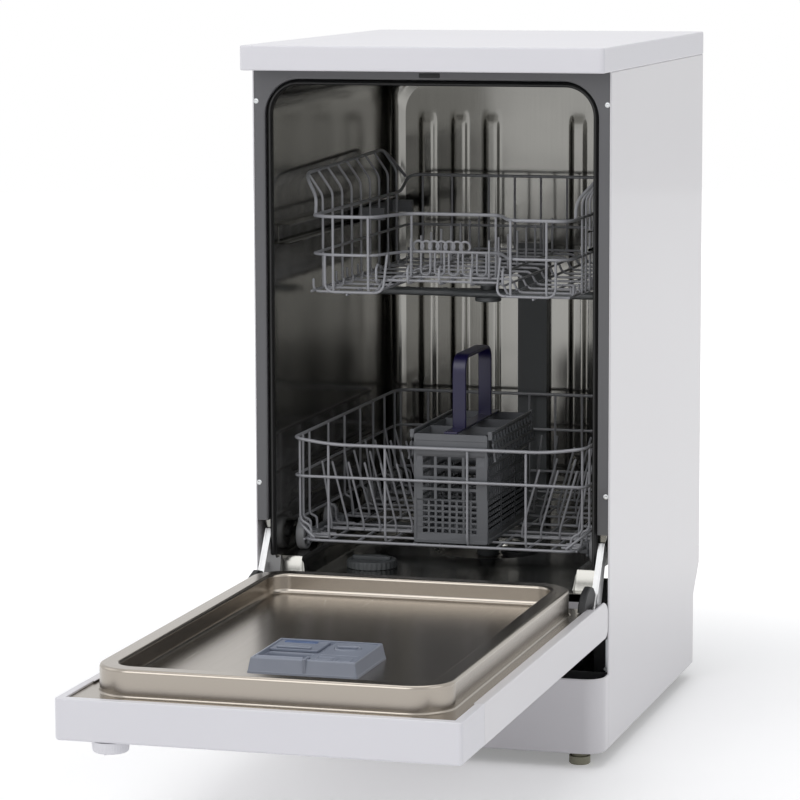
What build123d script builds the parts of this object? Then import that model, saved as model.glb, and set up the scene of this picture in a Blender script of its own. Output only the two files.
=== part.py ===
from build123d import *
import math
import os

os.makedirs("parts", exist_ok=True)

# All sizes are millimetres. X runs across the front, Y from the front to the back, Z up from the floor.
# The front plane of the cabinet is at Y 0, the door is open and both baskets are pushed in.

# Cabinet
cabinet_width = 448.0
cabinet_depth = 555.0
foot_height = 18.0
cabinet_top = 836.0
panel_sheet = 2.0
panel_return = 10.0
worktop_thickness = 30.0
worktop_overhang = 47.0
worktop_side_overhang = 1.0
worktop_corner_radius = 6.0
back_recess_depth = 38.0
back_recess_height = 112.0
back_recess_slope = 38.0
base_height = 110.0
base_wall = 2.5
base_wall_gap = 2.0
base_floor = 3.0
base_post = 16.0
base_post_inset = 23.0
base_front_y = 8.0
plinth_reach = 38.0
plinth_corner_radius = 24.0
plinth_sheet = 2.0
foot_radius = 13.0
foot_pad_height = 10.0
foot_stem_radius = 5.0
foot_side_inset = 34.0
front_foot_y = -8.0
rear_foot_inset = 29.0
screw_radius = 3.2
screw_head_height = 1.6
front_screw_head_height = 0.6

# Front frame and the tub behind it
frame_sheet = 1.5
frame_face_width = 16.0
frame_edge_gap = 0.5
frame_bottom = 280.0
frame_top_band = 12.0
frame_lip_depth = 16.0
opening_corner_radius = 44.0
gasket_thickness = 8.0
tub_side_gap = 5.0
tub_sheet = 1.5
tub_top_gap = 6.0
tub_corner_radius = 40.0
tub_back_gap = 25.0
tub_floor_z = 205.0
ledge_z = 230.0
ledge_width = 31.0
ledge_start_y = 32.0
sump_radius = 72.0
sump_depth = 82.0

# Door, which lies open along -Y
hinge_y = -26.5
hinge_z = 176.5
door_inner_z = 202.0
door_thickness = 46.0
door_rear_y = -6.0
door_heel_radius = 10.0
door_swing_gap = 0.6
door_top_gap = 3.0
door_side_gap = 0.5
door_sheet = 1.5
panel_length = 91.0
panel_wall = 2.5
liner_sheet = 1.5
liner_side_gap = 11.0
liner_front_inset = 30.0
liner_rear_y = -58.0
liner_corner_radius = 45.0
liner_rim_width = 22.0
liner_recess_z = 206.0

# Hinge
hinge_pin_radius = 4.0
hinge_fit_gap = 0.05
hinge_arm_inset = 9.0
hinge_arm_sheet = 2.5
hinge_bracket_inset = 5.0
hinge_bracket_sheet = 2.5
hinge_arm_reach = 123.5
spring_inset = 26.0
spring_radius = 7.0
spring_bore = 5.0
spring_start_y = 130.0
spring_length = 150.0
spring_z = 60.0

# Dispenser on the door liner
dispenser_x = (-60.0, 66.0)
dispenser_inset = 152.0
dispenser_length = 114.0
dispenser_top = 224.0
rinse_cap_radius = 15.0
latch_side = 16.0
latch_gap = 0.5

# Controls on the outer face of the door
knob_side_inset = 55.5
knob_inset = 21.5
knob_radius = 20.5
knob_proud = 13.0
knob_shaft_radius = 5.0
button_side_inset = 73.5
button_radius = 8.0
button_proud = 3.0
moving_gap = 0.5
pocket_half = 65.0
pocket_depth = 26.0
pocket_corner_radius = 10.0
board_inset = 11.5
board_pocket_gap = 4.5

# Lower basket, pushed in
wire = 4.0
lower_front_y = 35.0
lower_rear_gap = 25.0
lower_side_gap = 15.0
lower_floor_z = 253.0
lower_shoulder_width = 12.0
lower_rim_z = 381.0
lower_shoulder_z = 276.0
wheel_radius = 19.7
wheel_width = 11.0
wheel_wall_gap = 9.0
wheel_gap = 0.3
wheel_axle_radius = 4.0
wheel_fit_gap = 0.05
wheel_front_offsets = (50.0, 165.0)
wheel_rear_offsets = (112.0, 18.0)
lower_tine_height = 88.0
lower_tine_start = 75.0
lower_tine_pitch = 95.0

# Cutlery basket in the lower basket
cutlery_x = (-33.0, 61.0)
cutlery_front_gap = 8.0
cutlery_length = 210.0
cutlery_height = 136.0
cutlery_wall = 2.5
handle_width = 17.0
handle_rise = 93.0
handle_length = 130.0
handle_strap = 5.0
flap_width = 36.0
flap_thickness = 3.0
flap_hang_angle = 8.0
flap_hinge_rise = 2.2
flap_hinge_reach = 3.0
flap_pin_radius = 1.2
flap_end_gap = 6.0

# Upper basket, pushed in
upper_front_y = 38.0
upper_rear_gap = 37.0
upper_side_gap = 45.0
upper_middle_z = 578.0
upper_middle_half = 82.0
upper_trough_z = 562.0
upper_rim_z = 656.0
upper_flare_gap = 15.0
upper_flare_z = 705.0
roller_radius = 11.0
roller_width = 6.0
roller_wall_gap = 8.0
roller_axle_radius = 3.0
roller_rear_offsets = (133.0, 23.0)
upper_tine_height = 48.0
upper_tine_x = (-52.0, 48.0)
upper_tine_end_gap = 60.0
rail_z = 632.0
rail_height = 29.0
rail_sheet = 1.5
feed_pipe_depth = 14.0
feed_pipe_half = 20.0
feed_nozzle_reach = 8.0

# Spray arms
arm_y = 280.0
lower_arm_half = 165.0
upper_arm_half = 150.0
arm_width = 38.0
arm_thickness = 10.0
arm_spindle_radius = 10.0
arm_fit_gap = 0.05
lower_arm_z = 222.0
upper_arm_drop = 44.0
upper_hub_rise = 16.0
filter_x = 42.0

# Ports at the back of the base
port_z = 66.0
port_side_inset = 72.0
inlet_radius = 13.1
inlet_bore = 8.0
inlet_reach = 18.0
drain_x = 60.0
drain_radius = 10.0
drain_bore = 7.5
drain_reach = 24.0
gland_radius = 11.0
gland_bore = 4.0
port_step = 0.6
port_gap = 0.3

half_width = cabinet_width / 2
panel_inner = half_width - panel_sheet
base_inner = panel_inner - base_wall_gap - base_wall
frame_outer_half = panel_inner - frame_edge_gap
frame_inner_half = half_width - frame_face_width
frame_opening_top = cabinet_top - frame_top_band
tub_half_width = frame_inner_half - tub_side_gap
tub_top = frame_opening_top - tub_top_gap
tub_back_y = cabinet_depth - tub_back_gap
door_half = half_width - door_side_gap
knob_x = -(door_half - knob_side_inset)
button_x = door_half - button_side_inset
door_outer_z = door_inner_z - door_thickness
door_front_y = hinge_y - (cabinet_top - door_top_gap - hinge_z)
panel_rear_y = door_front_y + panel_length
liner_front_y = door_front_y + liner_front_inset
liner_half_width = frame_inner_half - liner_side_gap
dispenser_y = (door_front_y + dispenser_inset, door_front_y + dispenser_inset + dispenser_length)
hinge_arm_x = panel_inner - hinge_arm_inset
hinge_bracket_x = panel_inner - hinge_bracket_inset
lower_rear_y = tub_back_y - lower_rear_gap
lower_length = lower_rear_y - lower_front_y
lower_half_width = tub_half_width - lower_side_gap
lower_floor_half_width = lower_half_width - lower_shoulder_width
wheel_x = tub_half_width - wheel_wall_gap - wheel_width
cutlery_y = (lower_front_y + cutlery_front_gap, lower_front_y + cutlery_front_gap + cutlery_length)
cutlery_bottom = lower_floor_z + 0.3
cutlery_top = cutlery_bottom + cutlery_height
cutlery_middle = (cutlery_x[0] + cutlery_x[1]) / 2
upper_rear_y = tub_back_y - upper_rear_gap
upper_length = upper_rear_y - upper_front_y
upper_half_width = tub_half_width - upper_side_gap
upper_flare_half = tub_half_width - upper_flare_gap
upper_arm_z = upper_middle_z - upper_arm_drop
roller_x = tub_half_width - roller_wall_gap - roller_width
port_x = panel_inner - port_side_inset
wheel_z = ledge_z + wheel_gap + wheel_radius
liner_flange_top = door_inner_z - panel_wall - 0.2
base_back_y = cabinet_depth - back_recess_depth
base_rear = base_back_y - 1.0


def block(x, y, z):
    """A box between two corners, each given as (low, high) on an axis."""
    size = Box(x[1] - x[0], y[1] - y[0], z[1] - z[0])
    return Pos((x[0] + x[1]) / 2, (y[0] + y[1]) / 2, (z[0] + z[1]) / 2) * size


def rod(axis, start, length, radius):
    """A round bar from start along +X, +Y or +Z."""
    turn = {"x": Rot(0, 90, 0), "y": Rot(-90, 0, 0), "z": Rot(0, 0, 0)}[axis]
    bar = Cylinder(radius, length, align=(Align.CENTER, Align.CENTER, Align.MIN))
    return Pos(*start) * turn * bar


def both_sides(shape):
    """The shape and its mirror image across the middle plane."""
    return [shape, mirror(shape, about=Plane.YZ)]


def rounded_slab(x, y, z, radius):
    """A flat slab with its four upright corners rounded."""
    outline = RectangleRounded(x[1] - x[0], y[1] - y[0], radius)
    place = Pos((x[0] + x[1]) / 2, (y[0] + y[1]) / 2, z[0])
    return extrude(place * outline, z[1] - z[0])


def grille(width, height, thickness, columns, rows, bar):
    """A net of square bars, standing in XY from the origin, as one plate with holes."""
    hole_x = (width - bar * (columns + 1)) / columns
    hole_y = (height - bar * (rows + 1)) / rows
    net = Pos(width / 2, height / 2) * Rectangle(width, height)
    places = GridLocations(hole_x + bar, hole_y + bar, columns, rows)
    holes = [Pos(width / 2, height / 2) * place * Rectangle(hole_x, hole_y) for place in places]
    return extrude(net - holes, thickness)


def stand_across(shape, x, y, z):
    """Stands a plate of one wire's thickness up along X, from the corner x, y, z."""
    return Pos(x, y + wire, z) * Plane.XZ.location * shape


def stand_along(shape, x, y, z):
    """Stands a plate drawn in XY up along Y, its thickness running towards +X."""
    return Pos(x, y, z) * Plane.YZ.location * shape


def comb(length, height, teeth, bar):
    """A row of upright prongs on a foot bar, drawn in XY from the origin."""
    foot = Pos(length / 2, bar / 2) * Rectangle(length, bar)
    step = (length - bar) / (teeth - 1)
    prongs = [Pos(bar / 2 + i * step, height / 2) * Rectangle(bar, height) for i in range(teeth)]
    return extrude(foot + prongs, bar)


def save(node, shape):
    """Writes one node, whose separate solids stay separate."""
    solids = shape if isinstance(shape, list) else [shape]
    flat = [solid for part in solids for solid in part.solids()]
    export_step(flat[0] if len(flat) == 1 else Compound(children=flat), f"parts/{node}.step")


# Cabinet shell


def worktop():
    x = half_width + worktop_side_overhang
    slab = rounded_slab(
        (-x, x),
        (-worktop_overhang, cabinet_depth),
        (cabinet_top, cabinet_top + worktop_thickness),
        worktop_corner_radius,
    )
    edge_round = 2.0
    return fillet(slab.faces().sort_by(Axis.Z)[-1].edges(), edge_round)


def side_panel():
    """The right panel: a pressed sheet with a return along its front edge and a low recess at the back."""
    outline = Polyline(
        (0, foot_height),
        (base_back_y, foot_height),
        (base_back_y, back_recess_height),
        (cabinet_depth, back_recess_height + back_recess_slope),
        (cabinet_depth, cabinet_top),
        (0, cabinet_top),
        close=True,
    )
    sheet = Pos(panel_inner, 0, 0) * extrude(Plane.YZ * make_face(outline), panel_sheet)
    return_y = frame_sheet + 0.3
    front = block(
        (half_width - panel_return, half_width),
        (return_y, return_y + panel_sheet),
        (frame_bottom + 6, cabinet_top),
    )
    back_return = block(
        (half_width - panel_return, half_width),
        (cabinet_depth - 2 * panel_sheet, cabinet_depth - panel_sheet),
        (back_recess_height + back_recess_slope, cabinet_top),
    )
    return sheet + front + back_return


def back_panel():
    """A flat cover with two pressed stiffening grooves, fixed behind the returns of the side panels."""
    sheet = 1.2
    edge_gap = 0.5
    x = panel_inner - edge_gap
    low = back_recess_height + back_recess_slope
    cover = block((-x, x), (cabinet_depth - sheet, cabinet_depth), (low, cabinet_top - edge_gap))
    rib_height = 14.0
    rib_depth = 3.0
    rib_x = x - 60.0
    for level in (0.33, 0.66):
        z = low + level * (cabinet_top - low)
        cover += block(
            (-rib_x, rib_x),
            (cabinet_depth - sheet - rib_depth, cabinet_depth - sheet),
            (z, z + rib_height),
        )
    return cover


def base_tray():
    """The moulded base: a floor pan with walls, and posts that carry the tub."""
    x = panel_inner - 1.5
    step_inset = 22.0
    floor = (foot_height, foot_height + base_floor)
    pan = block((-x, x), (base_front_y, base_rear), floor)
    step = block((-x + step_inset, x - step_inset), (-plinth_reach + 6, base_front_y), floor)
    base = pan + step
    for side in (-1, 1):
        wall = sorted((side * base_inner, side * (base_inner + base_wall)))
        base += block(wall, (base_front_y, base_rear), (foot_height, base_height))
    for y in (base_front_y, base_rear - base_wall):
        base += block((-base_inner, base_inner), (y, y + base_wall), (foot_height, base_height))
    post_top = tub_floor_z - tub_sheet
    post_inner = tub_half_width - base_post_inset
    for side in (-1, 1):
        for y in (base_front_y + 102, base_rear - 64):
            post_x = sorted((side * post_inner, side * (post_inner + base_post)))
            base += block(post_x, (y, y + base_post), (foot_height, post_top))
    for x_foot, y_foot in foot_places():
        base -= rod("z", (x_foot, y_foot, foot_height - 1), 6, foot_stem_radius + 0.2)
    return base


def foot_places():
    x = half_width - foot_side_inset
    return [(side * x, y) for y in (front_foot_y, base_back_y - rear_foot_inset) for side in (-1, 1)]


def levelling_feet():
    """Four screw feet, each a round pad on a threaded stem that turns in the base."""
    feet = []
    for x, y in foot_places():
        pad = rod("z", (x, y, 0), foot_pad_height, foot_radius)
        pad = chamfer(pad.faces().sort_by(Axis.Z)[0].edges(), 1.5)
        collar = rod("z", (x, y, foot_pad_height), foot_height - foot_pad_height, foot_radius - 4)
        stem = rod("z", (x, y, foot_height), 22, foot_stem_radius)
        feet.append(pad + collar + stem)
    return feet


def plinth():
    """The kick plate: a bent sheet with large upright corners that runs back to the side panels."""
    x = half_width
    outer = rounded_slab((-x, x), (-plinth_reach, 60), (foot_height, base_height), plinth_corner_radius)
    inner = rounded_slab(
        (-x + plinth_sheet, x - plinth_sheet),
        (-plinth_reach + plinth_sheet, 60),
        (foot_height - 1, base_height + 1),
        plinth_corner_radius - plinth_sheet,
    )
    behind = block((-x - 1, x + 1), (-0.5, 70), (foot_height - 1, base_height + 1))
    return outer - inner - behind


def screws():
    """Two flat-head screws on each side of the front frame, three pan-head ones on each side at the back."""
    low = back_recess_height + back_recess_slope + 100.0
    high = cabinet_top - 46.0
    group = []
    for side in (-1, 1):
        x = side * (half_width - 5.0)
        for z in (frame_bottom + 47.0, cabinet_top - 39.0):
            head = front_screw_head_height
            group.append(rod("y", (x, -head, z), head, screw_radius))
        x = side * (panel_inner - 8.0)
        for z in (low, (low + high) / 2, high):
            group.append(rod("y", (x, cabinet_depth, z), screw_head_height, screw_radius))
    return group


# Front frame, gasket and tub


def arch(half, top, bottom, radius, depth):
    """A solid arch-shaped prism: flat sides, flat top, rounded upper corners, thickness along Y."""
    outline = Plane.XZ * make_face(
        Polyline((-half, bottom), (half, bottom), (half, top), (-half, top), close=True)
    )
    prism = extrude(outline, -depth)
    if radius:
        corners = prism.edges().filter_by(Axis.Y).sort_by(Axis.Z)[-2:]
        prism = fillet(corners, radius)
    return prism


def front_frame():
    """The painted frame round the opening, whose lip turns back into the opening."""
    outer = frame_outer_half
    face = arch(outer, cabinet_top - frame_edge_gap, frame_bottom, 0, frame_sheet)
    lip_outer = frame_inner_half + frame_sheet
    lip_top = frame_opening_top + frame_sheet
    lip = arch(lip_outer, lip_top, frame_bottom, opening_corner_radius, frame_lip_depth)
    inner_radius = opening_corner_radius - frame_sheet
    opening = arch(frame_inner_half, frame_opening_top, frame_bottom - 10, inner_radius, 40)
    frame = face + lip - Pos(0, -5, 0) * opening
    clip_height = 4.0
    for side in (-1, 1):
        x = sorted((side * lip_outer, side * outer))
        frame += block(x, (0, frame_lip_depth), (frame_bottom, frame_bottom + clip_height))
    return frame


def tub_gasket():
    """The black rubber seal that follows the opening inside the lip."""
    slack = 0.2
    outer = arch(
        frame_inner_half - slack,
        frame_opening_top - slack,
        ledge_z + 6,
        opening_corner_radius - frame_sheet - slack,
        frame_lip_depth - 2,
    )
    inner = arch(
        frame_inner_half - gasket_thickness,
        frame_opening_top - gasket_thickness,
        ledge_z - 10,
        opening_corner_radius - gasket_thickness,
        40,
    )
    return Pos(0, 1.5, 0) * (outer - Pos(0, -10, 0) * inner)


def tub_shell():
    """Both side walls and the roof of the tub, bent from one sheet, with a flange at the front."""
    start = frame_lip_depth + 0.5
    depth = tub_back_y - start
    outer_radius = tub_corner_radius + tub_sheet
    outer = arch(tub_half_width + tub_sheet, tub_top + tub_sheet, ledge_z, outer_radius, depth)
    inner = arch(tub_half_width, tub_top, ledge_z - 10, tub_corner_radius, depth + 20)
    wrap = outer - Pos(0, -10, 0) * inner
    flange_top = cabinet_top - 4
    flange = arch(panel_inner - 1, flange_top, frame_bottom + 5, 0, tub_sheet)
    hole = arch(tub_half_width, tub_top, frame_bottom - 10, tub_corner_radius, 20)
    flange = flange - Pos(0, -5, 0) * hole
    return Pos(0, start, 0) * (wrap + flange)


def tub_back():
    """The back wall of the tub, with upright pressed ribs."""
    x = tub_half_width + tub_sheet
    wall = block((-x, x), (tub_back_y, tub_back_y + tub_sheet), (tub_floor_z, tub_top + tub_sheet))
    rib_width = 18.0
    rib_depth = 3.0
    rib_low = ledge_z + 45.0
    rib_high = tub_top - 60.0
    rib_pipe_gap = 1.0
    rib_side_inset = 53.0
    innermost = feed_pipe_half + rib_pipe_gap + rib_width / 2
    outermost = tub_half_width - rib_side_inset
    for x_rib in (outermost, (innermost + outermost) / 2, innermost):
        rib = block(
            (x_rib - rib_width / 2, x_rib + rib_width / 2),
            (tub_back_y - rib_depth, tub_back_y),
            (rib_low, rib_high),
        )
        wall += rib
        wall += mirror(rib, about=Plane.YZ)
    return wall


def tub_floor():
    """The bottom of the tub: two raised ledges for the basket wheels and a low pan with the sump hole."""
    x = tub_half_width
    inner = x - ledge_width
    y = (ledge_start_y, tub_back_y)
    pan_front = 10.0
    pan_y = (pan_front, tub_back_y)
    floor = block((-inner, inner), pan_y, (tub_floor_z - tub_sheet, tub_floor_z))
    for side in (-1, 1):
        ledge = sorted((side * inner, side * x))
        floor += block(ledge, y, (ledge_z - tub_sheet, ledge_z))
        step = sorted((side * inner, side * (inner - tub_sheet)))
        floor += block(step, y, (tub_floor_z - tub_sheet, ledge_z))
        wing = sorted((side * inner, side * x))
        floor += block(wing, (pan_front, ledge_start_y), (tub_floor_z - tub_sheet, tub_floor_z))
        riser_y = (ledge_start_y, ledge_start_y + tub_sheet)
        floor += block(wing, riser_y, (tub_floor_z - tub_sheet, ledge_z))
    sump_hole = rod("z", (0, arm_y, tub_floor_z - 5), 10, sump_radius)
    return floor - sump_hole


# Water system


def sump():
    """The moulded sump under the tub, with the arm's bearing in the middle and the filter well beside it."""
    top = tub_floor_z - tub_sheet
    rim = rod("z", (0, arm_y, top - 4), 4, sump_radius + 12)
    cup = rod("z", (0, arm_y, top - sump_depth), sump_depth, sump_radius)
    hollow = rod("z", (0, arm_y, top - sump_depth + 3), sump_depth + 1, sump_radius - 3)
    post = rod("z", (0, arm_y, top - sump_depth), sump_depth + 14, 14)
    post += rod("z", (0, arm_y, top + 14), 8, arm_spindle_radius)
    bridge_z = (top - sump_depth, top - sump_depth + 20)
    bridge = block((-sump_radius + 1, 0), (arm_y - 7, arm_y + 7), bridge_z)
    return rim + cup - hollow + post + bridge


def sump_filter():
    """The twist-in filter: a mesh ring with a turning grip, in the sump's well beside the arm's post."""
    x = filter_x
    well_top = tub_floor_z - tub_sheet
    tube = rod("z", (x, arm_y, well_top - 60), 60, 22)
    tube -= rod("z", (x, arm_y, well_top - 57), 70, 19)
    collar = rod("z", (x, arm_y, well_top - 2), 4, 24)
    collar -= rod("z", (x, arm_y, well_top - 3), 6, 19)
    grip = block((x - 20, x + 20), (arm_y - 2, arm_y + 2), (well_top - 6, well_top + 6))
    return tube + collar + grip


def circulation_pump():
    """The wash pump and its motor, lying across the base beside the sump."""
    z = 75.0
    y = 385.0
    volute = rod("x", (-30, y, z), 34, 42)
    motor = rod("x", (4, y, z), 95, 36)
    cap = rod("x", (99, y, z), 10, 20)
    outlet_y = arm_y + sump_radius + 0.5
    outlet = rod("y", (-14, outlet_y, 140), y - outlet_y, 10)
    riser = rod("z", (-14, y, z + 30), 50, 13)
    saddle = block((-26, 90), (y - 20, y + 20), (foot_height + base_floor, z - 28))
    return volute + motor + cap + outlet + riser + saddle


def drain_pump():
    """The small drain pump on the side of the sump."""
    y = 200.0
    z = 90.0
    body = rod("x", (90, y, z), 60, 22)
    head = rod("x", (78, y, z), 12, 28)
    saddle = block((100, 140), (y - 12, y + 12), (foot_height + base_floor, z - 16))
    return body + head + saddle


def rear_feed_pipe():
    """The flat riser on the tub's back wall that feeds the upper arm."""
    front = tub_back_y - feed_pipe_depth
    height = (tub_floor_z + 0.2, upper_trough_z + 20)
    pipe = block((-feed_pipe_half, feed_pipe_half), (front, tub_back_y - 0.2), height)
    nozzle = rod("y", (0, front - feed_nozzle_reach, upper_trough_z), feed_nozzle_reach, 11)
    nozzle -= rod("y", (0, front - feed_nozzle_reach - 1, upper_trough_z), 16, 8)
    return pipe + nozzle


def inlet_valve():
    """The water inlet valve, whose threaded stub for the supply hose stands out of the back."""
    x, z = port_x, port_z
    body = block((x - 22, x + 22), (base_rear - 60, base_rear - base_wall), (z - 24, z + 30))
    neck = rod("y", (x, base_back_y - 12, z), 13, inlet_radius - port_step)
    neck += rod("y", (x, base_back_y, z), inlet_reach, inlet_radius)
    neck -= rod("y", (x, base_back_y - 6, z), 12 + inlet_reach, inlet_bore)
    return body + neck


def drain_spigot():
    """The spigot in the back of the base on which the drain hose is pushed."""
    x, z = drain_x, port_z
    flange = rod("y", (x, base_rear - base_wall - 4, z), 4, drain_radius + 8)
    tube = rod("y", (x, base_back_y - 12, z), 13, drain_radius - port_step)
    tube += rod("y", (x, base_back_y, z), drain_reach, drain_radius)
    tube -= rod("y", (x, base_back_y - 13, z), 15 + drain_reach, drain_bore)
    return flange + tube


def cord_gland():
    """The gland in the back of the base through which the mains lead would leave."""
    x, z = -port_x, port_z
    body = rod("y", (x, base_back_y - 8, z), 14, gland_radius)
    body += rod("y", (x, base_rear, z), 3, gland_radius + 3)
    body -= rod("y", (x, base_back_y - 9, z), 18, gland_bore)
    return body


def base_back_with_ports(base):
    """Cuts the ports of the inlet, the drain and the cord in the back wall of the base."""
    y = base_rear - base_wall - 2
    ports = [
        (port_x, inlet_radius - port_step),
        (drain_x, drain_radius - port_step),
        (-port_x, gland_radius),
    ]
    for x, radius in ports:
        base -= rod("y", (x, y, port_z), 8, radius + port_gap)
    return base


def spray_arm(half, z, width, thickness):
    """A flat hollow arm, wider in the middle, with rounded ends and jet holes on its upper face."""
    plan = Circle(width * 0.62)
    plan += Rectangle(2 * half - width * 0.7, width * 0.7)
    for end in (-1, 1):
        plan += Pos(end * (half - width * 0.35), 0) * Circle(width * 0.35)
    arm = extrude(plan, thickness)
    arm = fillet(arm.faces().sort_by(Axis.Z)[-1].edges(), 2.5)
    jet_radius = 1.6
    for i, share in enumerate((-0.92, -0.75, -0.55, -0.35, 0.35, 0.55, 0.75, 0.92)):
        offset = 5.0 if i % 2 else -5.0
        arm -= rod("z", (share * (half - 14), offset, thickness - 3), 5, jet_radius)
    return Pos(0, arm_y, z) * arm


def lower_spray_arm():
    z = lower_arm_z
    arm = spray_arm(lower_arm_half, z, arm_width, arm_thickness + 2)
    cap = rod("z", (0, arm_y, z + 11), 9, 15)
    bore = rod("z", (0, arm_y, z - 1), 6, arm_spindle_radius + arm_fit_gap)
    return arm + cap - bore


def upper_spray_arm():
    z = upper_arm_z
    arm = spray_arm(upper_arm_half, z, arm_width, arm_thickness)
    nut = rod("z", (0, arm_y, z - 7), 7, 16)
    socket = rod("z", (0, arm_y, z + arm_thickness - 4), 6, arm_spindle_radius + arm_fit_gap)
    return arm + nut - socket


def upper_spray_feed():
    """The pipe under the upper basket: a round hub over the arm and a pipe back to the docking nozzle."""
    hub_low = upper_arm_z + upper_hub_rise
    hub_top = upper_middle_z - wire
    hub = rod("z", (0, arm_y, hub_low), hub_top - hub_low, 20)
    peg_length = 8.5
    peg = rod("z", (0, arm_y, hub_low - peg_length), peg_length + 0.5, arm_spindle_radius)
    rear = tub_back_y - feed_pipe_depth - feed_nozzle_reach - 1.5
    pipe = rod("y", (0, arm_y, upper_trough_z), rear - arm_y, 10)
    clip_y = (upper_rear_y - 60, upper_rear_y - 48)
    clip = block((-30, 30), clip_y, (upper_trough_z + 6, hub_top))
    return hub + peg + pipe + clip


def salt_cap():
    """The screw cap of the softener's salt tank in the tub's floor."""
    x, y = -110.0, 120.0
    cap = rod("z", (x, y, tub_floor_z + 0.3), 10, 32)
    cap = fillet(cap.faces().sort_by(Axis.Z)[-1].edges(), 2)
    grip = block((x - 26, x + 26), (y - 4, y + 4), (tub_floor_z + 10, tub_floor_z + 14))
    return cap + grip


# Door


def door_outer_panel():
    """The white folded steel skin of the door, below the control panel."""
    x = door_half
    front = panel_rear_y + 0.3
    flange = 11.0
    rear_wall_half = liner_half_width + 1.0
    swing_radius = -hinge_y - door_swing_gap
    outer = block((-x, x), (front, door_rear_y), (door_outer_z, door_inner_z))
    hollow = block(
        (-x + door_sheet, x - door_sheet),
        (front - 1, door_rear_y - door_sheet),
        (door_outer_z + door_sheet, door_inner_z + 1),
    )
    skin = rounded_heel(outer, door_heel_radius) - rounded_heel(hollow, door_heel_radius - door_sheet)
    rear_y = (door_rear_y - door_sheet - 0.1, door_rear_y + 1)
    skin -= block((-x + door_sheet, x - door_sheet), rear_y, (door_inner_z - 4, door_inner_z + 1))
    for side in (-1, 1):
        gap_x = sorted((side * rear_wall_half, side * (x - door_sheet)))
        skin -= block(gap_x, rear_y, (door_outer_z + door_heel_radius, door_inner_z + 1))
        fold = sorted((side * x, side * (x - flange)))
        fold_y = (front, liner_rear_y - 10)
        skin += block(fold, fold_y, (door_inner_z - door_sheet, door_inner_z))
        wall_x = sorted((side * rear_wall_half, side * (x + 1)))
        corner = block(wall_x, (hinge_y, door_rear_y + 1), (hinge_z, door_inner_z + 1))
        skin -= corner - rod("x", (wall_x[0], hinge_y, hinge_z), wall_x[1] - wall_x[0], swing_radius)
    return skin


def rounded_heel(tray, radius):
    """Rounds the long edge that is lowest and furthest back, which swings past the side panels."""
    edge = tray.edges().filter_by(Axis.X).group_by(Axis.Y)[-1].sort_by(Axis.Z)[0]
    return fillet(edge, radius)


def control_panel():
    """The moulded panel at the free end of the door, with the finger recess of the door handle."""
    x = door_half
    outer = block((-x, x), (door_front_y, panel_rear_y), (door_outer_z, door_inner_z))
    edges = outer.edges().filter_by(Axis.X).group_by(Axis.Y)[0]
    outer = fillet(edges, 3.0)
    rim = 10.0
    cavity = block(
        (-x + panel_wall, x - panel_wall),
        (door_front_y + panel_wall, panel_rear_y + 1),
        (door_outer_z + panel_wall, door_inner_z - panel_wall),
    )
    window = block(
        (-x + rim, x - rim),
        (door_front_y + rim, panel_rear_y + 1),
        (door_inner_z - panel_wall - 1, door_inner_z + 1),
    )
    panel = outer - cavity - window
    pocket_y = (panel_rear_y - 42, panel_rear_y - 8)
    housing = block(
        (-pocket_half - panel_wall, pocket_half + panel_wall),
        (pocket_y[0] - panel_wall, pocket_y[1] + panel_wall),
        (door_outer_z, door_outer_z + pocket_depth + panel_wall),
    )
    pocket = rounded_slab(
        (-pocket_half, pocket_half),
        pocket_y,
        (door_outer_z - 1, door_outer_z + pocket_depth),
        pocket_corner_radius,
    )
    panel = panel + housing - pocket
    knob_y = door_front_y + knob_inset
    panel -= rod("z", (knob_x, knob_y, door_outer_z - 1), 8, knob_shaft_radius + 0.5)
    panel -= rod("z", (button_x, knob_y, door_outer_z - 1), 8, button_radius + moving_gap)
    return panel


def programme_knob():
    """The round programme knob, with a fluted skirt and a shaft into the panel."""
    y = door_front_y + knob_inset
    top = door_outer_z - moving_gap
    body = rod("z", (knob_x, y, door_outer_z - knob_proud), knob_proud - moving_gap, knob_radius)
    body = fillet(body.faces().sort_by(Axis.Z)[0].edges(), 2.0)
    shaft = rod("z", (knob_x, y, top - 1), 14, knob_shaft_radius)
    pointer = block(
        (knob_x - 1, knob_x + 1),
        (y - knob_radius + 1, y - 4),
        (door_outer_z - knob_proud - 0.6, door_outer_z - knob_proud + 1),
    )
    return body + shaft + pointer


def power_button():
    """The round push button for mains power."""
    y = door_front_y + knob_inset
    length = button_proud + 9
    button = rod("z", (button_x, y, door_outer_z - button_proud), length, button_radius)
    return fillet(button.faces().sort_by(Axis.Z)[0].edges(), 1.0)


def control_board():
    """The circuit board on two rails inside the control panel, with its relay and transformer."""
    z = door_outer_z + 22.0
    top = z + 1.6
    y = (door_front_y + 40, door_front_y + 86)
    x = (pocket_half + panel_wall + board_pocket_gap, door_half - board_inset)
    board = block(x, y, (z, top))
    for place, width, tall in ((8, 20, 18), (38, 16, 14), (68, 25, 12)):
        board += block((x[0] + place, x[0] + place + width), (y[0] + 8, y[1] - 12), (top, top + tall))
    rail = 4.0
    for rail_start in (x[0], x[1] - rail):
        board += block((rail_start, rail_start + rail), y, (door_outer_z + panel_wall, z))
    return board


def liner_plan(inset):
    """The liner's rounded outline, drawn in by an inset."""
    x = liner_half_width - inset
    y = (liner_front_y + inset, liner_rear_y - inset)
    radius = max(liner_corner_radius - inset, 6.0)
    outline = RectangleRounded(2 * x, y[1] - y[0], radius)
    return Pos(0, (y[0] + y[1]) / 2) * outline


def liner_prism(inset, low, high):
    return extrude(Pos(0, 0, low) * liner_plan(inset), high - low)


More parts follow.
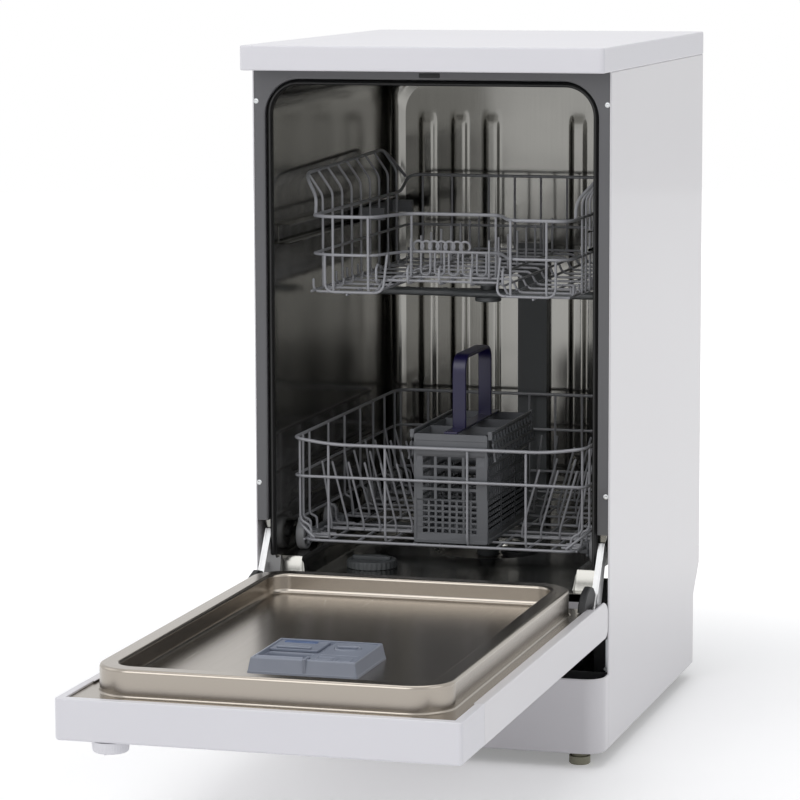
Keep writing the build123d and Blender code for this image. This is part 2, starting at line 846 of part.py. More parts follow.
def door_liner():
    """The pressed steel inner face of the door: a flange, a raised rim and a shallow recess."""
    flange_high = liner_flange_top
    flange_low = flange_high - liner_sheet
    flange_edge = 3.0
    flange = block(
        (-door_half + flange_edge, door_half - flange_edge),
        (door_front_y + panel_wall + 1, liner_rear_y + 4),
        (flange_low, flange_high),
    )
    raised = liner_prism(0, flange_low, ledge_z)
    hollow = liner_prism(liner_sheet, flange_low - 1, ledge_z - liner_sheet)
    core = liner_prism(liner_rim_width - liner_sheet, flange_low, ledge_z)
    recess = liner_prism(liner_rim_width, liner_recess_z, ledge_z + 1)
    under = liner_prism(liner_rim_width, flange_low - 1, liner_recess_z - liner_sheet)
    rim = raised - (hollow - core)
    liner = flange - liner_prism(0, flange_low - 1, flange_high + 1) + rim - recess - under
    dispenser_hole = block(
        (dispenser_x[0] + 4, dispenser_x[1] - 4),
        (dispenser_y[0] + 4, dispenser_y[1] - 4),
        (flange_low - 10, liner_recess_z + 1),
    )
    return liner - dispenser_hole


def dispenser_body():
    """The moulded detergent dispenser: an open cup at the left, a block with the rinse aid at the right."""
    x, y = dispenser_x, dispenser_y
    middle = x[0] + 66.0
    body = block(x, y, (liner_recess_z, dispenser_top - 4))
    tank = block((x[0] + 5, x[1] - 5), (y[0] + 5, y[1] - 5), (door_outer_z + 12, liner_recess_z))
    frame_rim = block(x, y, (dispenser_top - 4, dispenser_top))
    lid_well = block((x[0] + 4, middle - 2), (y[0] + 10, y[1] - 4), (dispenser_top - 5, dispenser_top + 1))
    cup = block((x[0] + 8, middle - 6), (y[0] + 14, y[0] + 58), (door_outer_z + 16, dispenser_top + 1))
    right_z = (dispenser_top - 3, dispenser_top + 1)
    right_low = block((middle + 3, x[1] - 6), (y[0] + 6, y[1] - 12), right_z)
    body = body + tank + frame_rim - lid_well - cup - right_low
    cap_x, cap_y = rinse_cap_place()
    body -= rod("z", (cap_x, cap_y, dispenser_top - 9), 12, rinse_cap_radius + moving_gap)
    latch_x, latch_y = latch_place()
    reach = latch_side / 2 + latch_gap
    latch_z = (dispenser_top - 12, dispenser_top)
    return body - block((latch_x - reach, latch_x + reach), (latch_y - reach, latch_y + reach), latch_z)


def rinse_cap_place():
    return dispenser_x[1] - 34.0, dispenser_y[1] - 36.0


def latch_place():
    return dispenser_x[1] - 20.0, dispenser_y[0] + 20.0


def dispenser_lid():
    """The sliding lid of the detergent cup, drawn back so that the cup is open."""
    middle = dispenser_x[0] + 66.0
    x = (dispenser_x[0] + 5, middle - 3)
    y = (dispenser_y[0] + 61, dispenser_y[1] - 5)
    lid = block(x, y, (dispenser_top - 4.5, dispenser_top - 1.5))
    grip = block((x[0] + 6, x[1] - 6), (y[0] + 2, y[0] + 6), (dispenser_top - 1.5, dispenser_top + 1.5))
    return lid + grip


def rinse_cap():
    """The quarter-turn cap of the rinse-aid tank."""
    x, y = rinse_cap_place()
    cap = rod("z", (x, y, dispenser_top - 8.5), 8, rinse_cap_radius)
    grip = block((x - 12, x + 12), (y - 2.5, y + 2.5), (dispenser_top - 1, dispenser_top + 2))
    return cap + grip


def dispenser_latch():
    """The square catch that is pressed to let the lid go."""
    x, y = latch_place()
    reach = latch_side / 2
    return block((x - reach, x + reach), (y - reach, y + reach), (dispenser_top - 9, dispenser_top - 1))


def hinge_arms():
    """The two steel arms screwed inside the door, each with a tail that pulls on the counter spring."""
    end_y = hinge_y - hinge_arm_reach
    plan = Polyline(
        (end_y, hinge_z - 9),
        (hinge_y, hinge_z - 12),
        (hinge_y + 12, hinge_z),
        (hinge_y + 48.5, hinge_z + 85.5),
        (hinge_y + 38.5, hinge_z + 91.5),
        (hinge_y - 14, hinge_z + 12),
        (end_y, hinge_z + 9),
        close=True,
    )
    plate = extrude(Plane.YZ * make_face(plan), hinge_arm_sheet)
    arm = Pos(hinge_arm_x, 0, 0) * plate
    arm -= rod("x", (hinge_arm_x - 1, hinge_y, hinge_z), 6, hinge_pin_radius + hinge_fit_gap)
    tab = block((hinge_arm_x - 18, hinge_arm_x), (end_y, end_y + 50), (hinge_z - 9, hinge_z - 7))
    return both_sides(arm + tab)


def hinge_brackets():
    """The two fixed plates on the base that hold the hinge pins, each with its pin."""
    plan = Polyline(
        (hinge_y - 9, hinge_z - 9),
        (-4, hinge_z - 9),
        (12, 150),
        (12, base_height),
        (80, base_height),
        (80, 150),
        (30, 196),
        (hinge_y - 4, hinge_z + 10),
        (hinge_y - 11, hinge_z + 4),
        close=True,
    )
    plate = extrude(Plane.YZ * make_face(plan), hinge_bracket_sheet)
    bracket = Pos(hinge_bracket_x, 0, 0) * plate
    pin = rod("x", (hinge_arm_x - 2, hinge_y, hinge_z), hinge_bracket_x - hinge_arm_x + 2, hinge_pin_radius)
    head = rod("x", (hinge_arm_x - 3.5, hinge_y, hinge_z), 2.0, hinge_pin_radius + 3)
    foot = block((hinge_arm_x, panel_inner - 0.5), (20, 75), (base_height, base_height + 3))
    return both_sides(bracket + pin + head + foot)


def door_springs():
    """The two long counter springs of the door, lying along the base, each hooked to its anchor."""
    end = spring_start_y + spring_length
    anchor_y = end + 20.0
    hook_z = (spring_z - spring_radius, spring_z + spring_radius)
    anchor_z = (foot_height + base_floor, spring_z + 12)
    coils = []
    for side in (-1, 1):
        x = side * (panel_inner - spring_inset)
        body = rod("y", (x, spring_start_y, spring_z), spring_length, spring_radius)
        body -= rod("y", (x, spring_start_y - 10, spring_z), spring_length + 20, spring_bore)
        hook = block((x - 1.5, x + 1.5), (end - 2, anchor_y), hook_z)
        anchor = block((x - 8, x + 8), (anchor_y, anchor_y + 6), anchor_z)
        coils.append(body + hook + anchor)
    return coils


def door_strike():
    """The hook under the worktop that the door's catch closes on."""
    plate = block((-22, 22), (frame_sheet, 14), (frame_opening_top + frame_sheet, cabinet_top - 4.2))
    return plate


def door_catch():
    """The catch housing in the control panel, with the slot for the hook."""
    y = (door_front_y + 4, door_front_y + 30)
    body = block((-24, 24), y, (door_inner_z - 22, liner_flange_top - liner_sheet))
    slot = block((-12, 12), (y[0] + 8, y[0] + 18), (door_inner_z - 14, door_inner_z + 1))
    return body - slot


# Lower basket


def lower_basket_floor():
    width = 2 * lower_floor_half_width
    net = grille(width, lower_length, wire, 8, 9, wire)
    return Pos(-lower_floor_half_width, lower_front_y, lower_floor_z - wire) * net


def lower_side_wall():
    """The right wall: a tall net, a narrow shoulder over the wheels and a short skirt down to the floor."""
    x = lower_half_width - wire
    length = lower_length - 2 * wire
    net = grille(length, lower_rim_z - lower_shoulder_z, wire, 8, 2, wire)
    wall = stand_along(net, x, lower_front_y + wire, lower_shoulder_z)
    inner = lower_floor_half_width - wire
    y = (lower_front_y + wire, lower_rear_y - wire)
    shoulder = block((inner, lower_half_width), y, (lower_shoulder_z - wire, lower_shoulder_z))
    skirt = block((inner, inner + wire), y, (lower_floor_z, lower_shoulder_z - wire))
    windows = []
    pitch = length / 8
    for i in range(8):
        low = y[0] + wire + i * pitch
        window_y = (low, low + pitch - 2 * wire)
        window_z = (lower_floor_z + wire, lower_shoulder_z - 2 * wire)
        windows.append(block((inner - 1, inner + wire + 1), window_y, window_z))
    return wall + shoulder + (skirt - windows)


def lower_end_wall(y):
    """The front or back wall: a net between the side walls, narrower below the shoulder."""
    width = 2 * lower_half_width
    tall = grille(width, lower_rim_z - lower_shoulder_z, wire, 7, 2, wire)
    wall = stand_across(tall, -lower_half_width, y, lower_shoulder_z)
    low_width = 2 * lower_floor_half_width
    low = grille(low_width, lower_shoulder_z - lower_floor_z, wire, 6, 1, wire)
    return wall + stand_across(low, -lower_floor_half_width, y, lower_floor_z)


def lower_basket_walls():
    walls = both_sides(lower_side_wall())
    walls.append(lower_end_wall(lower_front_y))
    walls.append(lower_end_wall(lower_rear_y - wire))
    return walls


def lower_basket_tines():
    """Rows of prongs that hold the plates upright, on both sides of the cutlery basket."""
    side_gap = 14.0
    left = (-lower_floor_half_width + side_gap, cutlery_x[0] - 19.0)
    right = (cutlery_x[1] + 25.0, lower_floor_half_width - side_gap)
    middle = (cutlery_x[0] + 3.0, cutlery_x[1] - 1.0)
    places = [lower_front_y + lower_tine_start + i * lower_tine_pitch for i in range(4)]
    rows = [(left, 6, y) for y in places]
    rows += [(right, 4, y) for y in places]
    rows += [(middle, 5, y) for y in places[2:]]
    combs = []
    for span, teeth, y in rows:
        row = comb(span[1] - span[0], lower_tine_height, teeth, wire)
        combs.append(stand_across(row, span[0], y, lower_floor_z))
    return combs


def wheel_places():
    front = [lower_front_y + offset for offset in wheel_front_offsets]
    return front + [lower_rear_y - offset for offset in wheel_rear_offsets]


def lower_wheel_carriers():
    """Four moulded clips under the basket's edges, each carrying two wheels on stub axles."""
    pairs = [wheel_places()[:2], wheel_places()[2:]]
    top = lower_floor_z - wire
    inner = wheel_x - 6.0
    bore_x = wheel_x + wheel_width + 1.0
    clips = []
    for front, rear in pairs:
        low_y = max(front - 14, lower_front_y)
        high_y = min(rear + 14, lower_rear_y)
        clip = block((inner - 8, wheel_x - 1), (low_y, high_y), (top - 6, top))
        web = block((inner, wheel_x - 1), (low_y, high_y), (top - 10, top + 8))
        axle_parts = clip + web
        for y in (front, rear):
            axle_parts += rod("x", (inner, y, wheel_z), bore_x - inner, wheel_axle_radius)
            axle_parts += rod("x", (inner, y, wheel_z), wheel_x - 1 - inner, wheel_axle_radius + 4)
            axle_parts += rod("x", (bore_x, y, wheel_z), 1.5, wheel_axle_radius + 1.5)
        clips += both_sides(axle_parts)
    return clips


def wheel(y, side):
    """One basket wheel: a tyre-shaped disc with a hub and a dished face."""
    body = rod("x", (wheel_x, y, wheel_z), wheel_width, wheel_radius)
    rim_edges = body.edges().filter_by(GeomType.CIRCLE)
    body = fillet(rim_edges, 1.8)
    dish = rod("x", (wheel_x + wheel_width - 3, y, wheel_z), 4, wheel_radius - 5)
    dish -= rod("x", (wheel_x + wheel_width - 4, y, wheel_z), 6, wheel_axle_radius + 4)
    body -= dish
    body -= rod("x", (wheel_x - 1, y, wheel_z), wheel_width + 2, wheel_axle_radius + wheel_fit_gap)
    return body if side > 0 else mirror(body, about=Plane.YZ)


# Cutlery basket


def cutlery_basket():
    """A moulded box with pierced walls, two cross walls and a solid foot."""
    x, y = cutlery_x, cutlery_y
    w = cutlery_wall
    box = block(x, y, (cutlery_bottom, cutlery_top))
    cell = (cutlery_length - 4 * w) / 3
    for i in range(3):
        low = y[0] + w + i * (cell + w)
        box -= block((x[0] + w, x[1] - w), (low, low + cell), (cutlery_bottom + w, cutlery_top + 1))
    low_z = cutlery_bottom + 58.0
    hole = 14.0
    step = 19.0
    holes = []
    for row in range(3):
        z = low_z + row * step
        for column in range(4):
            middle_x = x[0] + 18.5 + column * step
            span = (middle_x - hole / 2, middle_x + hole / 2)
            holes.append(block(span, (y[0] - 1, y[1] + 1), (z, z + hole)))
        for column in range(10):
            middle_y = y[0] + 19.5 + column * step
            past_cross_wall = (middle_y - y[0] - w / 2) % (cell + w)
            if min(past_cross_wall, cell + w - past_cross_wall) > 11:
                span = (middle_y - hole / 2, middle_y + hole / 2)
                holes.append(block((x[0] - 1, x[1] + 1), span, (z, z + hole)))
    return box - holes + flap_lugs(1) + flap_lugs(-1)


def cutlery_handle():
    """The wide strap handle that stands along the middle of the cutlery basket."""
    x = (cutlery_middle - handle_width / 2, cutlery_middle + handle_width / 2)
    middle = (cutlery_y[0] + cutlery_y[1]) / 2
    y = (middle - handle_length / 2, middle + handle_length / 2)
    low = cutlery_top
    top = cutlery_top + handle_rise
    outer = block(x, y, (low, top))
    corners = outer.edges().filter_by(Axis.X).sort_by(Axis.Z)[-2:]
    outer = fillet(corners, 16.0)
    gap_y = (y[0] + handle_strap, y[1] - handle_strap)
    inner = block((x[0] - 1, x[1] + 1), gap_y, (low - 1, top - handle_strap))
    inner_corners = inner.edges().filter_by(Axis.X).sort_by(Axis.Z)[-2:]
    inner = fillet(inner_corners, 11.0)
    bridge = block(x, (cutlery_y[0], cutlery_y[1]), (low, low + 3))
    return outer - inner + bridge


def cutlery_flap(side):
    """One pierced lid flap, hanging down outside the basket from its hinge line on the rim."""
    length = cutlery_length - 2 * flap_end_gap
    start = cutlery_y[0] + flap_end_gap
    net = grille(length, flap_width, flap_thickness, 9, 2, 2.5)
    plate = Pos(-flap_thickness / 2, start, -flap_width) * Plane.YZ.location * net
    plate += rod("y", (0, start - 4, 0), length + 8, flap_pin_radius)
    tilt = -flap_hang_angle if side > 0 else flap_hang_angle
    return Pos(flap_hinge_x(side), 0, cutlery_top + flap_hinge_rise) * Rot(0, tilt, 0) * plate


def flap_hinge_x(side):
    return cutlery_x[1] + flap_hinge_reach if side > 0 else cutlery_x[0] - flap_hinge_reach


def flap_lugs(side):
    """The two small ears on the basket's rim, bored for the pins at the flap's ends."""
    hinge_x = flap_hinge_x(side)
    hinge_z = cutlery_top + flap_hinge_rise
    wall_x = cutlery_x[1] if side > 0 else cutlery_x[0]
    span = sorted((wall_x, hinge_x + side * 2.5))
    bore = rod("y", (hinge_x, cutlery_y[0], hinge_z), cutlery_length, flap_pin_radius + wheel_fit_gap)
    lugs = []
    for low in (cutlery_y[0] + 1, cutlery_y[1] - flap_end_gap + 0.5):
        lugs.append(block(span, (low, low + 4.5), (cutlery_top - 6, hinge_z + 2.5)) - bore)
    return lugs


# Upper basket


def upper_basket_floor():
    """The floor net: a raised middle over the feed pipe and a lower trough on each side."""
    y0 = upper_front_y + wire
    length = upper_length - 2 * wire
    middle = grille(2 * upper_middle_half, length, wire, 4, 8, wire)
    floor = Pos(-upper_middle_half, y0, upper_middle_z - wire) * middle
    trough_width = upper_half_width - wire - upper_middle_half
    trough = grille(trough_width, length, wire, 2, 8, wire)
    riser = block(
        (upper_middle_half - wire, upper_middle_half),
        (y0, y0 + length),
        (upper_trough_z - wire, upper_middle_z),
    )
    for side in (-1, 1):
        x = upper_middle_half if side > 0 else -upper_middle_half - trough_width
        floor += Pos(x, y0, upper_trough_z - wire) * trough
        floor += riser if side > 0 else mirror(riser, about=Plane.YZ)
    return floor


def upper_side_wall():
    """The right wall: upright to the rim, then flared out to the high side rail."""
    y0 = upper_front_y + wire
    length = upper_length - 2 * wire
    x = upper_half_width - wire
    upright = grille(length, upper_rim_z - upper_trough_z + wire, wire, 8, 2, wire)
    wall = stand_along(upright, x, y0, upper_trough_z - wire)
    rise = upper_flare_z - upper_rim_z
    reach = upper_flare_half - upper_half_width
    lean = Rot(0, math.degrees(math.atan2(reach, rise)), 0)
    slant = math.hypot(rise, reach)
    flare_start = 55.0
    flare = grille(length - flare_start, slant, wire, 7, 1, wire)
    wall += Pos(x, y0 + flare_start, upper_rim_z - wire) * lean * Plane.YZ.location * flare
    return wall


def upper_end_wall(y, top):
    """The front or back wall, deeper at the two troughs."""
    width = 2 * upper_half_width
    low = upper_middle_z - wire
    net = grille(width, top - low, wire, 6, 2, wire)
    wall = stand_across(net, -upper_half_width, y, low)
    trough = block(
        (upper_middle_half - wire, upper_half_width),
        (y, y + wire),
        (upper_trough_z - wire, low + wire),
    )
    window = block(
        (upper_middle_half, upper_half_width - wire),
        (y - 1, y + wire + 1),
        (upper_trough_z, low),
    )
    corner = trough - window
    return wall + both_sides(corner)


def upper_basket_walls():
    walls = both_sides(upper_side_wall())
    walls.append(upper_end_wall(upper_front_y, upper_rim_z))
    walls.append(upper_end_wall(upper_rear_y - wire, upper_rim_z + 20))
    return walls


def upper_basket_tines():
    """Two rows of short prongs along the middle, between which glasses lean."""
    length = upper_length - 2 * upper_tine_end_gap
    rows = []
    for x in upper_tine_x:
        row = comb(length, upper_tine_height, 8, wire)
        rows.append(stand_along(row, x, upper_front_y + upper_tine_end_gap, upper_middle_z))
    return rows


def roller_places():
    return [upper_rear_y - offset for offset in roller_rear_offsets]


def upper_roller_brackets():
    """The moulded side brackets of the upper basket, each with two stub axles for the rollers."""
    low_y = roller_places()[0] - 16
    high_y = roller_places()[1] + 16
    inner = upper_half_width
    plate_x = roller_x - 4.0
    web = block((inner, plate_x + 3), (low_y, low_y + 8), (rail_z - 8, rail_z + 8))
    web += block((inner, plate_x + 3), (high_y - 8, high_y), (rail_z - 8, rail_z + 8))
    web += block((plate_x, plate_x + 3), (low_y, high_y), (rail_z - 8, rail_z + 8))
    for y in roller_places():
        web += rod("x", (plate_x, y, rail_z), roller_width + 5, roller_axle_radius)
    return both_sides(web)


def roller(y, side):
    """One small roller of the upper basket."""
    body = rod("x", (roller_x, y, rail_z), roller_width, roller_radius)
    body = fillet(body.edges().filter_by(GeomType.CIRCLE), 1.0)
    body -= rod("x", (roller_x - 1, y, rail_z), roller_width + 2, roller_axle_radius + wheel_fit_gap)
    return body if side > 0 else mirror(body, about=Plane.YZ)


def basket_rail():
    """The C-shaped steel rail on the tub's right wall, in which the rollers run."""
    outer_x = tub_half_width - 0.1
    inner_x = roller_x - 1.0
    y = (ledge_start_y, tub_back_y - 8)
    half = rail_height / 2
    rail = block((outer_x - rail_sheet, outer_x), y, (rail_z - half, rail_z + half))
    race = roller_radius + wheel_gap
    for sign in (-1, 1):
        z = sorted((rail_z + sign * race, rail_z + sign * (race + rail_sheet)))
        rail += block((inner_x, outer_x), y, z)
    return rail


# Writing the nodes

save("worktop", worktop())
right_panel = side_panel()
save("side_panel_right", right_panel)
save("side_panel_left", mirror(right_panel, about=Plane.YZ))
save("back_panel", back_panel())
save("base_tray", base_back_with_ports(base_tray()))
save("plinth", plinth())
save("levelling_feet", levelling_feet())
save("screws", screws())
save("front_frame", front_frame())
save("tub_gasket", tub_gasket())
save("tub_shell", tub_shell())
save("tub_back", tub_back())
save("tub_floor", tub_floor())
save("sump", sump())
save("sump_filter", sump_filter())
save("circulation_pump", circulation_pump())
save("drain_pump", drain_pump())
save("rear_feed_pipe", rear_feed_pipe())
save("inlet_valve", inlet_valve())
save("drain_spigot", drain_spigot())
save("cord_gland", cord_gland())
save("lower_spray_arm", lower_spray_arm())
save("upper_spray_arm", upper_spray_arm())
save("upper_spray_feed", upper_spray_feed())
save("salt_cap", salt_cap())
save("door_outer_panel", door_outer_panel())
save("control_panel", control_panel())
save("programme_knob", programme_knob())
save("power_button", power_button())
save("control_board", control_board())
save("door_liner", door_liner())
save("dispenser_body", dispenser_body())
save("dispenser_lid", dispenser_lid())
save("rinse_cap", rinse_cap())
save("dispenser_latch", dispenser_latch())
save("hinge_arms", hinge_arms())
save("hinge_brackets", hinge_brackets())
save("door_springs", door_springs())
save("door_strike", door_strike())
save("door_catch", door_catch())
save("lower_basket_floor", lower_basket_floor())
save("lower_basket_walls", lower_basket_walls())
save("lower_basket_tines", lower_basket_tines())
save("lower_wheel_carriers", lower_wheel_carriers())
for number, place in enumerate(wheel_places(), 1):
    save(f"lower_wheels_{number}", [wheel(place, 1), wheel(place, -1)])
save("cutlery_basket", cutlery_basket())
save("cutlery_handle", cutlery_handle())
save("cutlery_flap_right", cutlery_flap(1))
save("cutlery_flap_left", cutlery_flap(-1))
save("upper_basket_floor", upper_basket_floor())
save("upper_basket_walls", upper_basket_walls())
save("upper_basket_tines", upper_basket_tines())
save("upper_roller_brackets", upper_roller_brackets())
for number, place in enumerate(roller_places(), 1):
    save(f"upper_rollers_{number}", [roller(place, 1), roller(place, -1)])
right_rail = basket_rail()
save("basket_rail_right", right_rail)
save("basket_rail_left", mirror(right_rail, about=Plane.YZ))
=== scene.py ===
import bmesh
import bpy
import numpy as np
from mathutils import Matrix, Vector


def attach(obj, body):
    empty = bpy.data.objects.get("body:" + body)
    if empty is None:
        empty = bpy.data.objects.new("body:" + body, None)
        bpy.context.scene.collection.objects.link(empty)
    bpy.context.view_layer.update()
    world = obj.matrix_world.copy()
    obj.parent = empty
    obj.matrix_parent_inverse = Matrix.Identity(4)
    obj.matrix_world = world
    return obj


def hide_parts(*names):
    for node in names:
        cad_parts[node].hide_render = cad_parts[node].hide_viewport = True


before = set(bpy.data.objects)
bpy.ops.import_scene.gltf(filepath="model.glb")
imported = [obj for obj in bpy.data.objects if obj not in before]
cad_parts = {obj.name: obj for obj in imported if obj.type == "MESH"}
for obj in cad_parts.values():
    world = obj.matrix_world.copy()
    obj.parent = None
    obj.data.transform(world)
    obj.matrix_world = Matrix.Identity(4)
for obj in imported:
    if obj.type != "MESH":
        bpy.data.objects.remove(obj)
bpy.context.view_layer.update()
scene = bpy.context.scene
scene.view_settings.view_transform = "Standard"

# Camera
# A pinhole fitted to the corners of the worktop, the cabinet, the frame and the open door.
# The photograph is 800 pixels square. Lengths in this file are millimetres, mm makes them metres.
mm = 0.001
focal_pixels = 3542.42
photo_pixels = 800
film_width = 36.0
camera_place = np.array([1143.676, -4105.827, 1021.117])
pitch, yaw, roll = np.radians([7.8009, 16.0552, -0.19197])

look = np.array([-np.sin(yaw) * np.cos(pitch), np.cos(yaw) * np.cos(pitch), -np.sin(pitch)])
level_right = np.array([np.cos(yaw), np.sin(yaw), 0.0])
level_up = np.cross(level_right, look)
right = level_right * np.cos(roll) + level_up * np.sin(roll)
up = level_up * np.cos(roll) - level_right * np.sin(roll)
camera = bpy.data.objects.new("camera", bpy.data.cameras.new("camera"))
camera.data.sensor_width = film_width
camera.data.lens = focal_pixels / photo_pixels * film_width
camera.data.clip_end = 100.0
place = np.eye(4)
place[:3] = np.column_stack([right, up, -look, camera_place * mm])
camera.matrix_world = Matrix(place)
scene.collection.objects.link(camera)
scene.camera = camera

# Floor and light
# A pale studio floor that runs out into white, large soft lamps in front, above and on both sides,
# and an even pale room all round. Each lamp has its place, its width and its power in watts.
floor_radius, floor_corners = 9000.0, 96
shadow_radius = 700.0
white_radius = 1500.0
floor_lift = 0.25
room_light = 0.5
lamps = {
    "lamp_front": ((-900, -3600, 2600), 2600, 44),
    "lamp_right": ((3200, -1200, 2200), 2400, 12),
    "lamp_left": ((-3200, -600, 2200), 2400, 12),
    "lamp_top": ((0, 200, 3800), 2600, 26),
}
lamp_aim = (0, -100, 400)


def linear(code):
    """An sRGB hex colour as linear red, green, blue and alpha."""
    value = np.array([int(code[i:i + 2], 16) for i in (0, 2, 4)]) / 255
    value = np.where(value <= 0.04045, value / 12.92, ((value + 0.055) / 1.055) ** 2.4)
    return (*value, 1.0)


def add(tree, kind, settings=None, links=None):
    """Adds a node. Settings are values of its sockets or its own options, links feed its sockets."""
    node = tree.nodes.new(kind)
    for name, value in (settings or {}).items():
        if isinstance(name, int) or name in node.inputs:
            node.inputs[name].default_value = value
        else:
            setattr(node, name, value)
    for name, source in (links or {}).items():
        tree.links.new(source, node.inputs[name])
    return node


def blank(name):
    """An empty material, its tree and its output node."""
    material = bpy.data.materials.new(name)
    material.use_nodes = True
    material.node_tree.nodes.clear()
    return material, material.node_tree, add(material.node_tree, "ShaderNodeOutputMaterial")


def seen_by_eye(tree):
    """1 on camera, glossy and transmission rays, 0 on the light that falls on the object."""
    path = add(tree, "ShaderNodeLightPath")
    mirror = add(tree, "ShaderNodeMath", {"operation": "MAXIMUM"},
                 {0: path.outputs["Is Camera Ray"], 1: path.outputs["Is Glossy Ray"]})
    return add(tree, "ShaderNodeMath", {"operation": "MAXIMUM"},
               {0: mirror.outputs[0], 1: path.outputs["Is Transmission Ray"]}).outputs[0]


world = bpy.data.worlds.new("studio")
world.use_nodes = True
scene.world = world
tree = world.node_tree
tree.nodes.clear()
room = add(tree, "ShaderNodeBackground", {"Color": linear("F4F5F8"), "Strength": room_light})
bright = add(tree, "ShaderNodeBackground", {"Color": linear("FFFFFF"), "Strength": 1.0})
both = add(tree, "ShaderNodeMixShader", {},
           {0: seen_by_eye(tree), 1: room.outputs[0], 2: bright.outputs[0]})
add(tree, "ShaderNodeOutputWorld", {}, {"Surface": both.outputs[0]})

floor_paint, tree, output = blank("studio_floor")
spot = add(tree, "ShaderNodeTexCoord").outputs["Object"]
distance = add(tree, "ShaderNodeVectorMath", {"operation": "LENGTH"}, {0: spot}).outputs["Value"]
fade = add(tree, "ShaderNodeMapRange",
           {"From Min": shadow_radius * mm, "From Max": white_radius * mm,
            "interpolation_type": "SMOOTHSTEP"},
           {"Value": distance})
matt = add(tree, "ShaderNodeBsdfDiffuse", {"Color": linear("FFFFFF")})
glow = add(tree, "ShaderNodeEmission", {"Color": linear("FFFFFF"), "Strength": 1.0})
share = add(tree, "ShaderNodeMath", {"operation": "MULTIPLY"}, {0: fade.outputs[0], 1: seen_by_eye(tree)})
mixed = add(tree, "ShaderNodeMixShader", {},
            {0: share.outputs[0], 1: matt.outputs[0], 2: glow.outputs[0]})
lift = add(tree, "ShaderNodeMath", {"operation": "MULTIPLY", 1: floor_lift}, {0: seen_by_eye(tree)})
bare = add(tree, "ShaderNodeEmission", {"Color": linear("FFFFFF")}, {"Strength": lift.outputs[0]})
lifted = add(tree, "ShaderNodeAddShader", {}, {0: mixed.outputs[0], 1: bare.outputs[0]})
tree.links.new(lifted.outputs[0], output.inputs["Surface"])

angle = np.linspace(0, 2 * np.pi, floor_corners, endpoint=False)
disc = np.stack([np.cos(angle), np.sin(angle), 0 * angle], -1) * floor_radius * mm
floor_mesh = bpy.data.meshes.new("studio_floor")
floor_mesh.from_pydata(disc.tolist(), [], [list(range(floor_corners))])
floor_mesh.materials.append(floor_paint)
floor = bpy.data.objects.new("studio_floor", floor_mesh)
scene.collection.objects.link(floor)

for name, (spot, size, power) in lamps.items():
    lamp = bpy.data.lights.new(name, "AREA")
    lamp.size = size * mm
    lamp.energy = power
    holder = bpy.data.objects.new(name, lamp)
    away = Vector(np.subtract(spot, lamp_aim) * mm)
    turn = away.to_track_quat("Z", "Y").to_matrix().to_4x4()
    holder.matrix_world = Matrix.Translation(Vector(spot) * mm) @ turn
    scene.collection.objects.link(holder)

# Worktop
# A chipboard slab covered with white laminate, its edges softly rounded, that sits on the cabinet
# and reaches forward over the closed door.
worktop_half = 225.0
worktop_front, worktop_back = -47.0, 555.0
worktop_low, worktop_high = 836.0, 866.0
worktop_corner = 6.0
worktop_edge = 2.0
least_corner = 0.05
weld_distance = 0.002


def finish(name, dark, light, roughness, patch, grain, depth, **shader):
    """A finish whose colour drifts between two shades over patches and whose surface has a fine grain.
    patch and grain are the sizes of the two patterns and depth is the grain's height, in millimetres."""
    material, tree, output = blank(name)
    spot = add(tree, "ShaderNodeTexCoord").outputs["Object"]
    drift = add(tree, "ShaderNodeTexNoise", {"Scale": 1000 / patch, "Detail": 3.0}, {"Vector": spot})
    colour = add(tree, "ShaderNodeMix", {"data_type": "RGBA", 6: linear(dark), 7: linear(light)},
                 {0: drift.outputs["Fac"]})
    bumps = add(tree, "ShaderNodeTexNoise", {"Scale": 1000 / grain, "Detail": 2.0}, {"Vector": spot})
    relief = add(tree, "ShaderNodeBump", {"Strength": 1.0, "Distance": depth * mm},
                 {"Height": bumps.outputs["Fac"]})
    gloss = add(tree, "ShaderNodeMapRange", {"To Min": roughness * 0.9, "To Max": roughness * 1.1},
                {"Value": drift.outputs["Fac"]})
    body = add(tree, "ShaderNodeBsdfPrincipled", shader,
               {"Base Color": colour.outputs[2], "Roughness": gloss.outputs[0],
                "Normal": relief.outputs["Normal"]})
    tree.links.new(body.outputs[0], output.inputs["Surface"])
    return material


def quads(rows, columns, around=False, along=False):
    """Corner numbers of the faces of a grid of points. around joins its last column to the first,
    along joins its last row to the first."""
    number = np.arange(rows * columns).reshape(rows, columns)
    if around:
        number = np.hstack([number, number[:, :1]])
    if along:
        number = np.vstack([number, number[:1]])
    corners = [number[:-1, :-1], number[:-1, 1:], number[1:, 1:], number[1:, :-1]]
    return np.stack(corners, -1).reshape(-1, 4).tolist()


def joined(parts):
    """Several pairs of points and faces as one."""
    points, faces, count = [], [], 0
    for part_points, part_faces in parts:
        points.append(part_points)
        faces += [[corner + count for corner in face] for face in part_faces]
        count += len(part_points)
    return np.vstack(points), faces


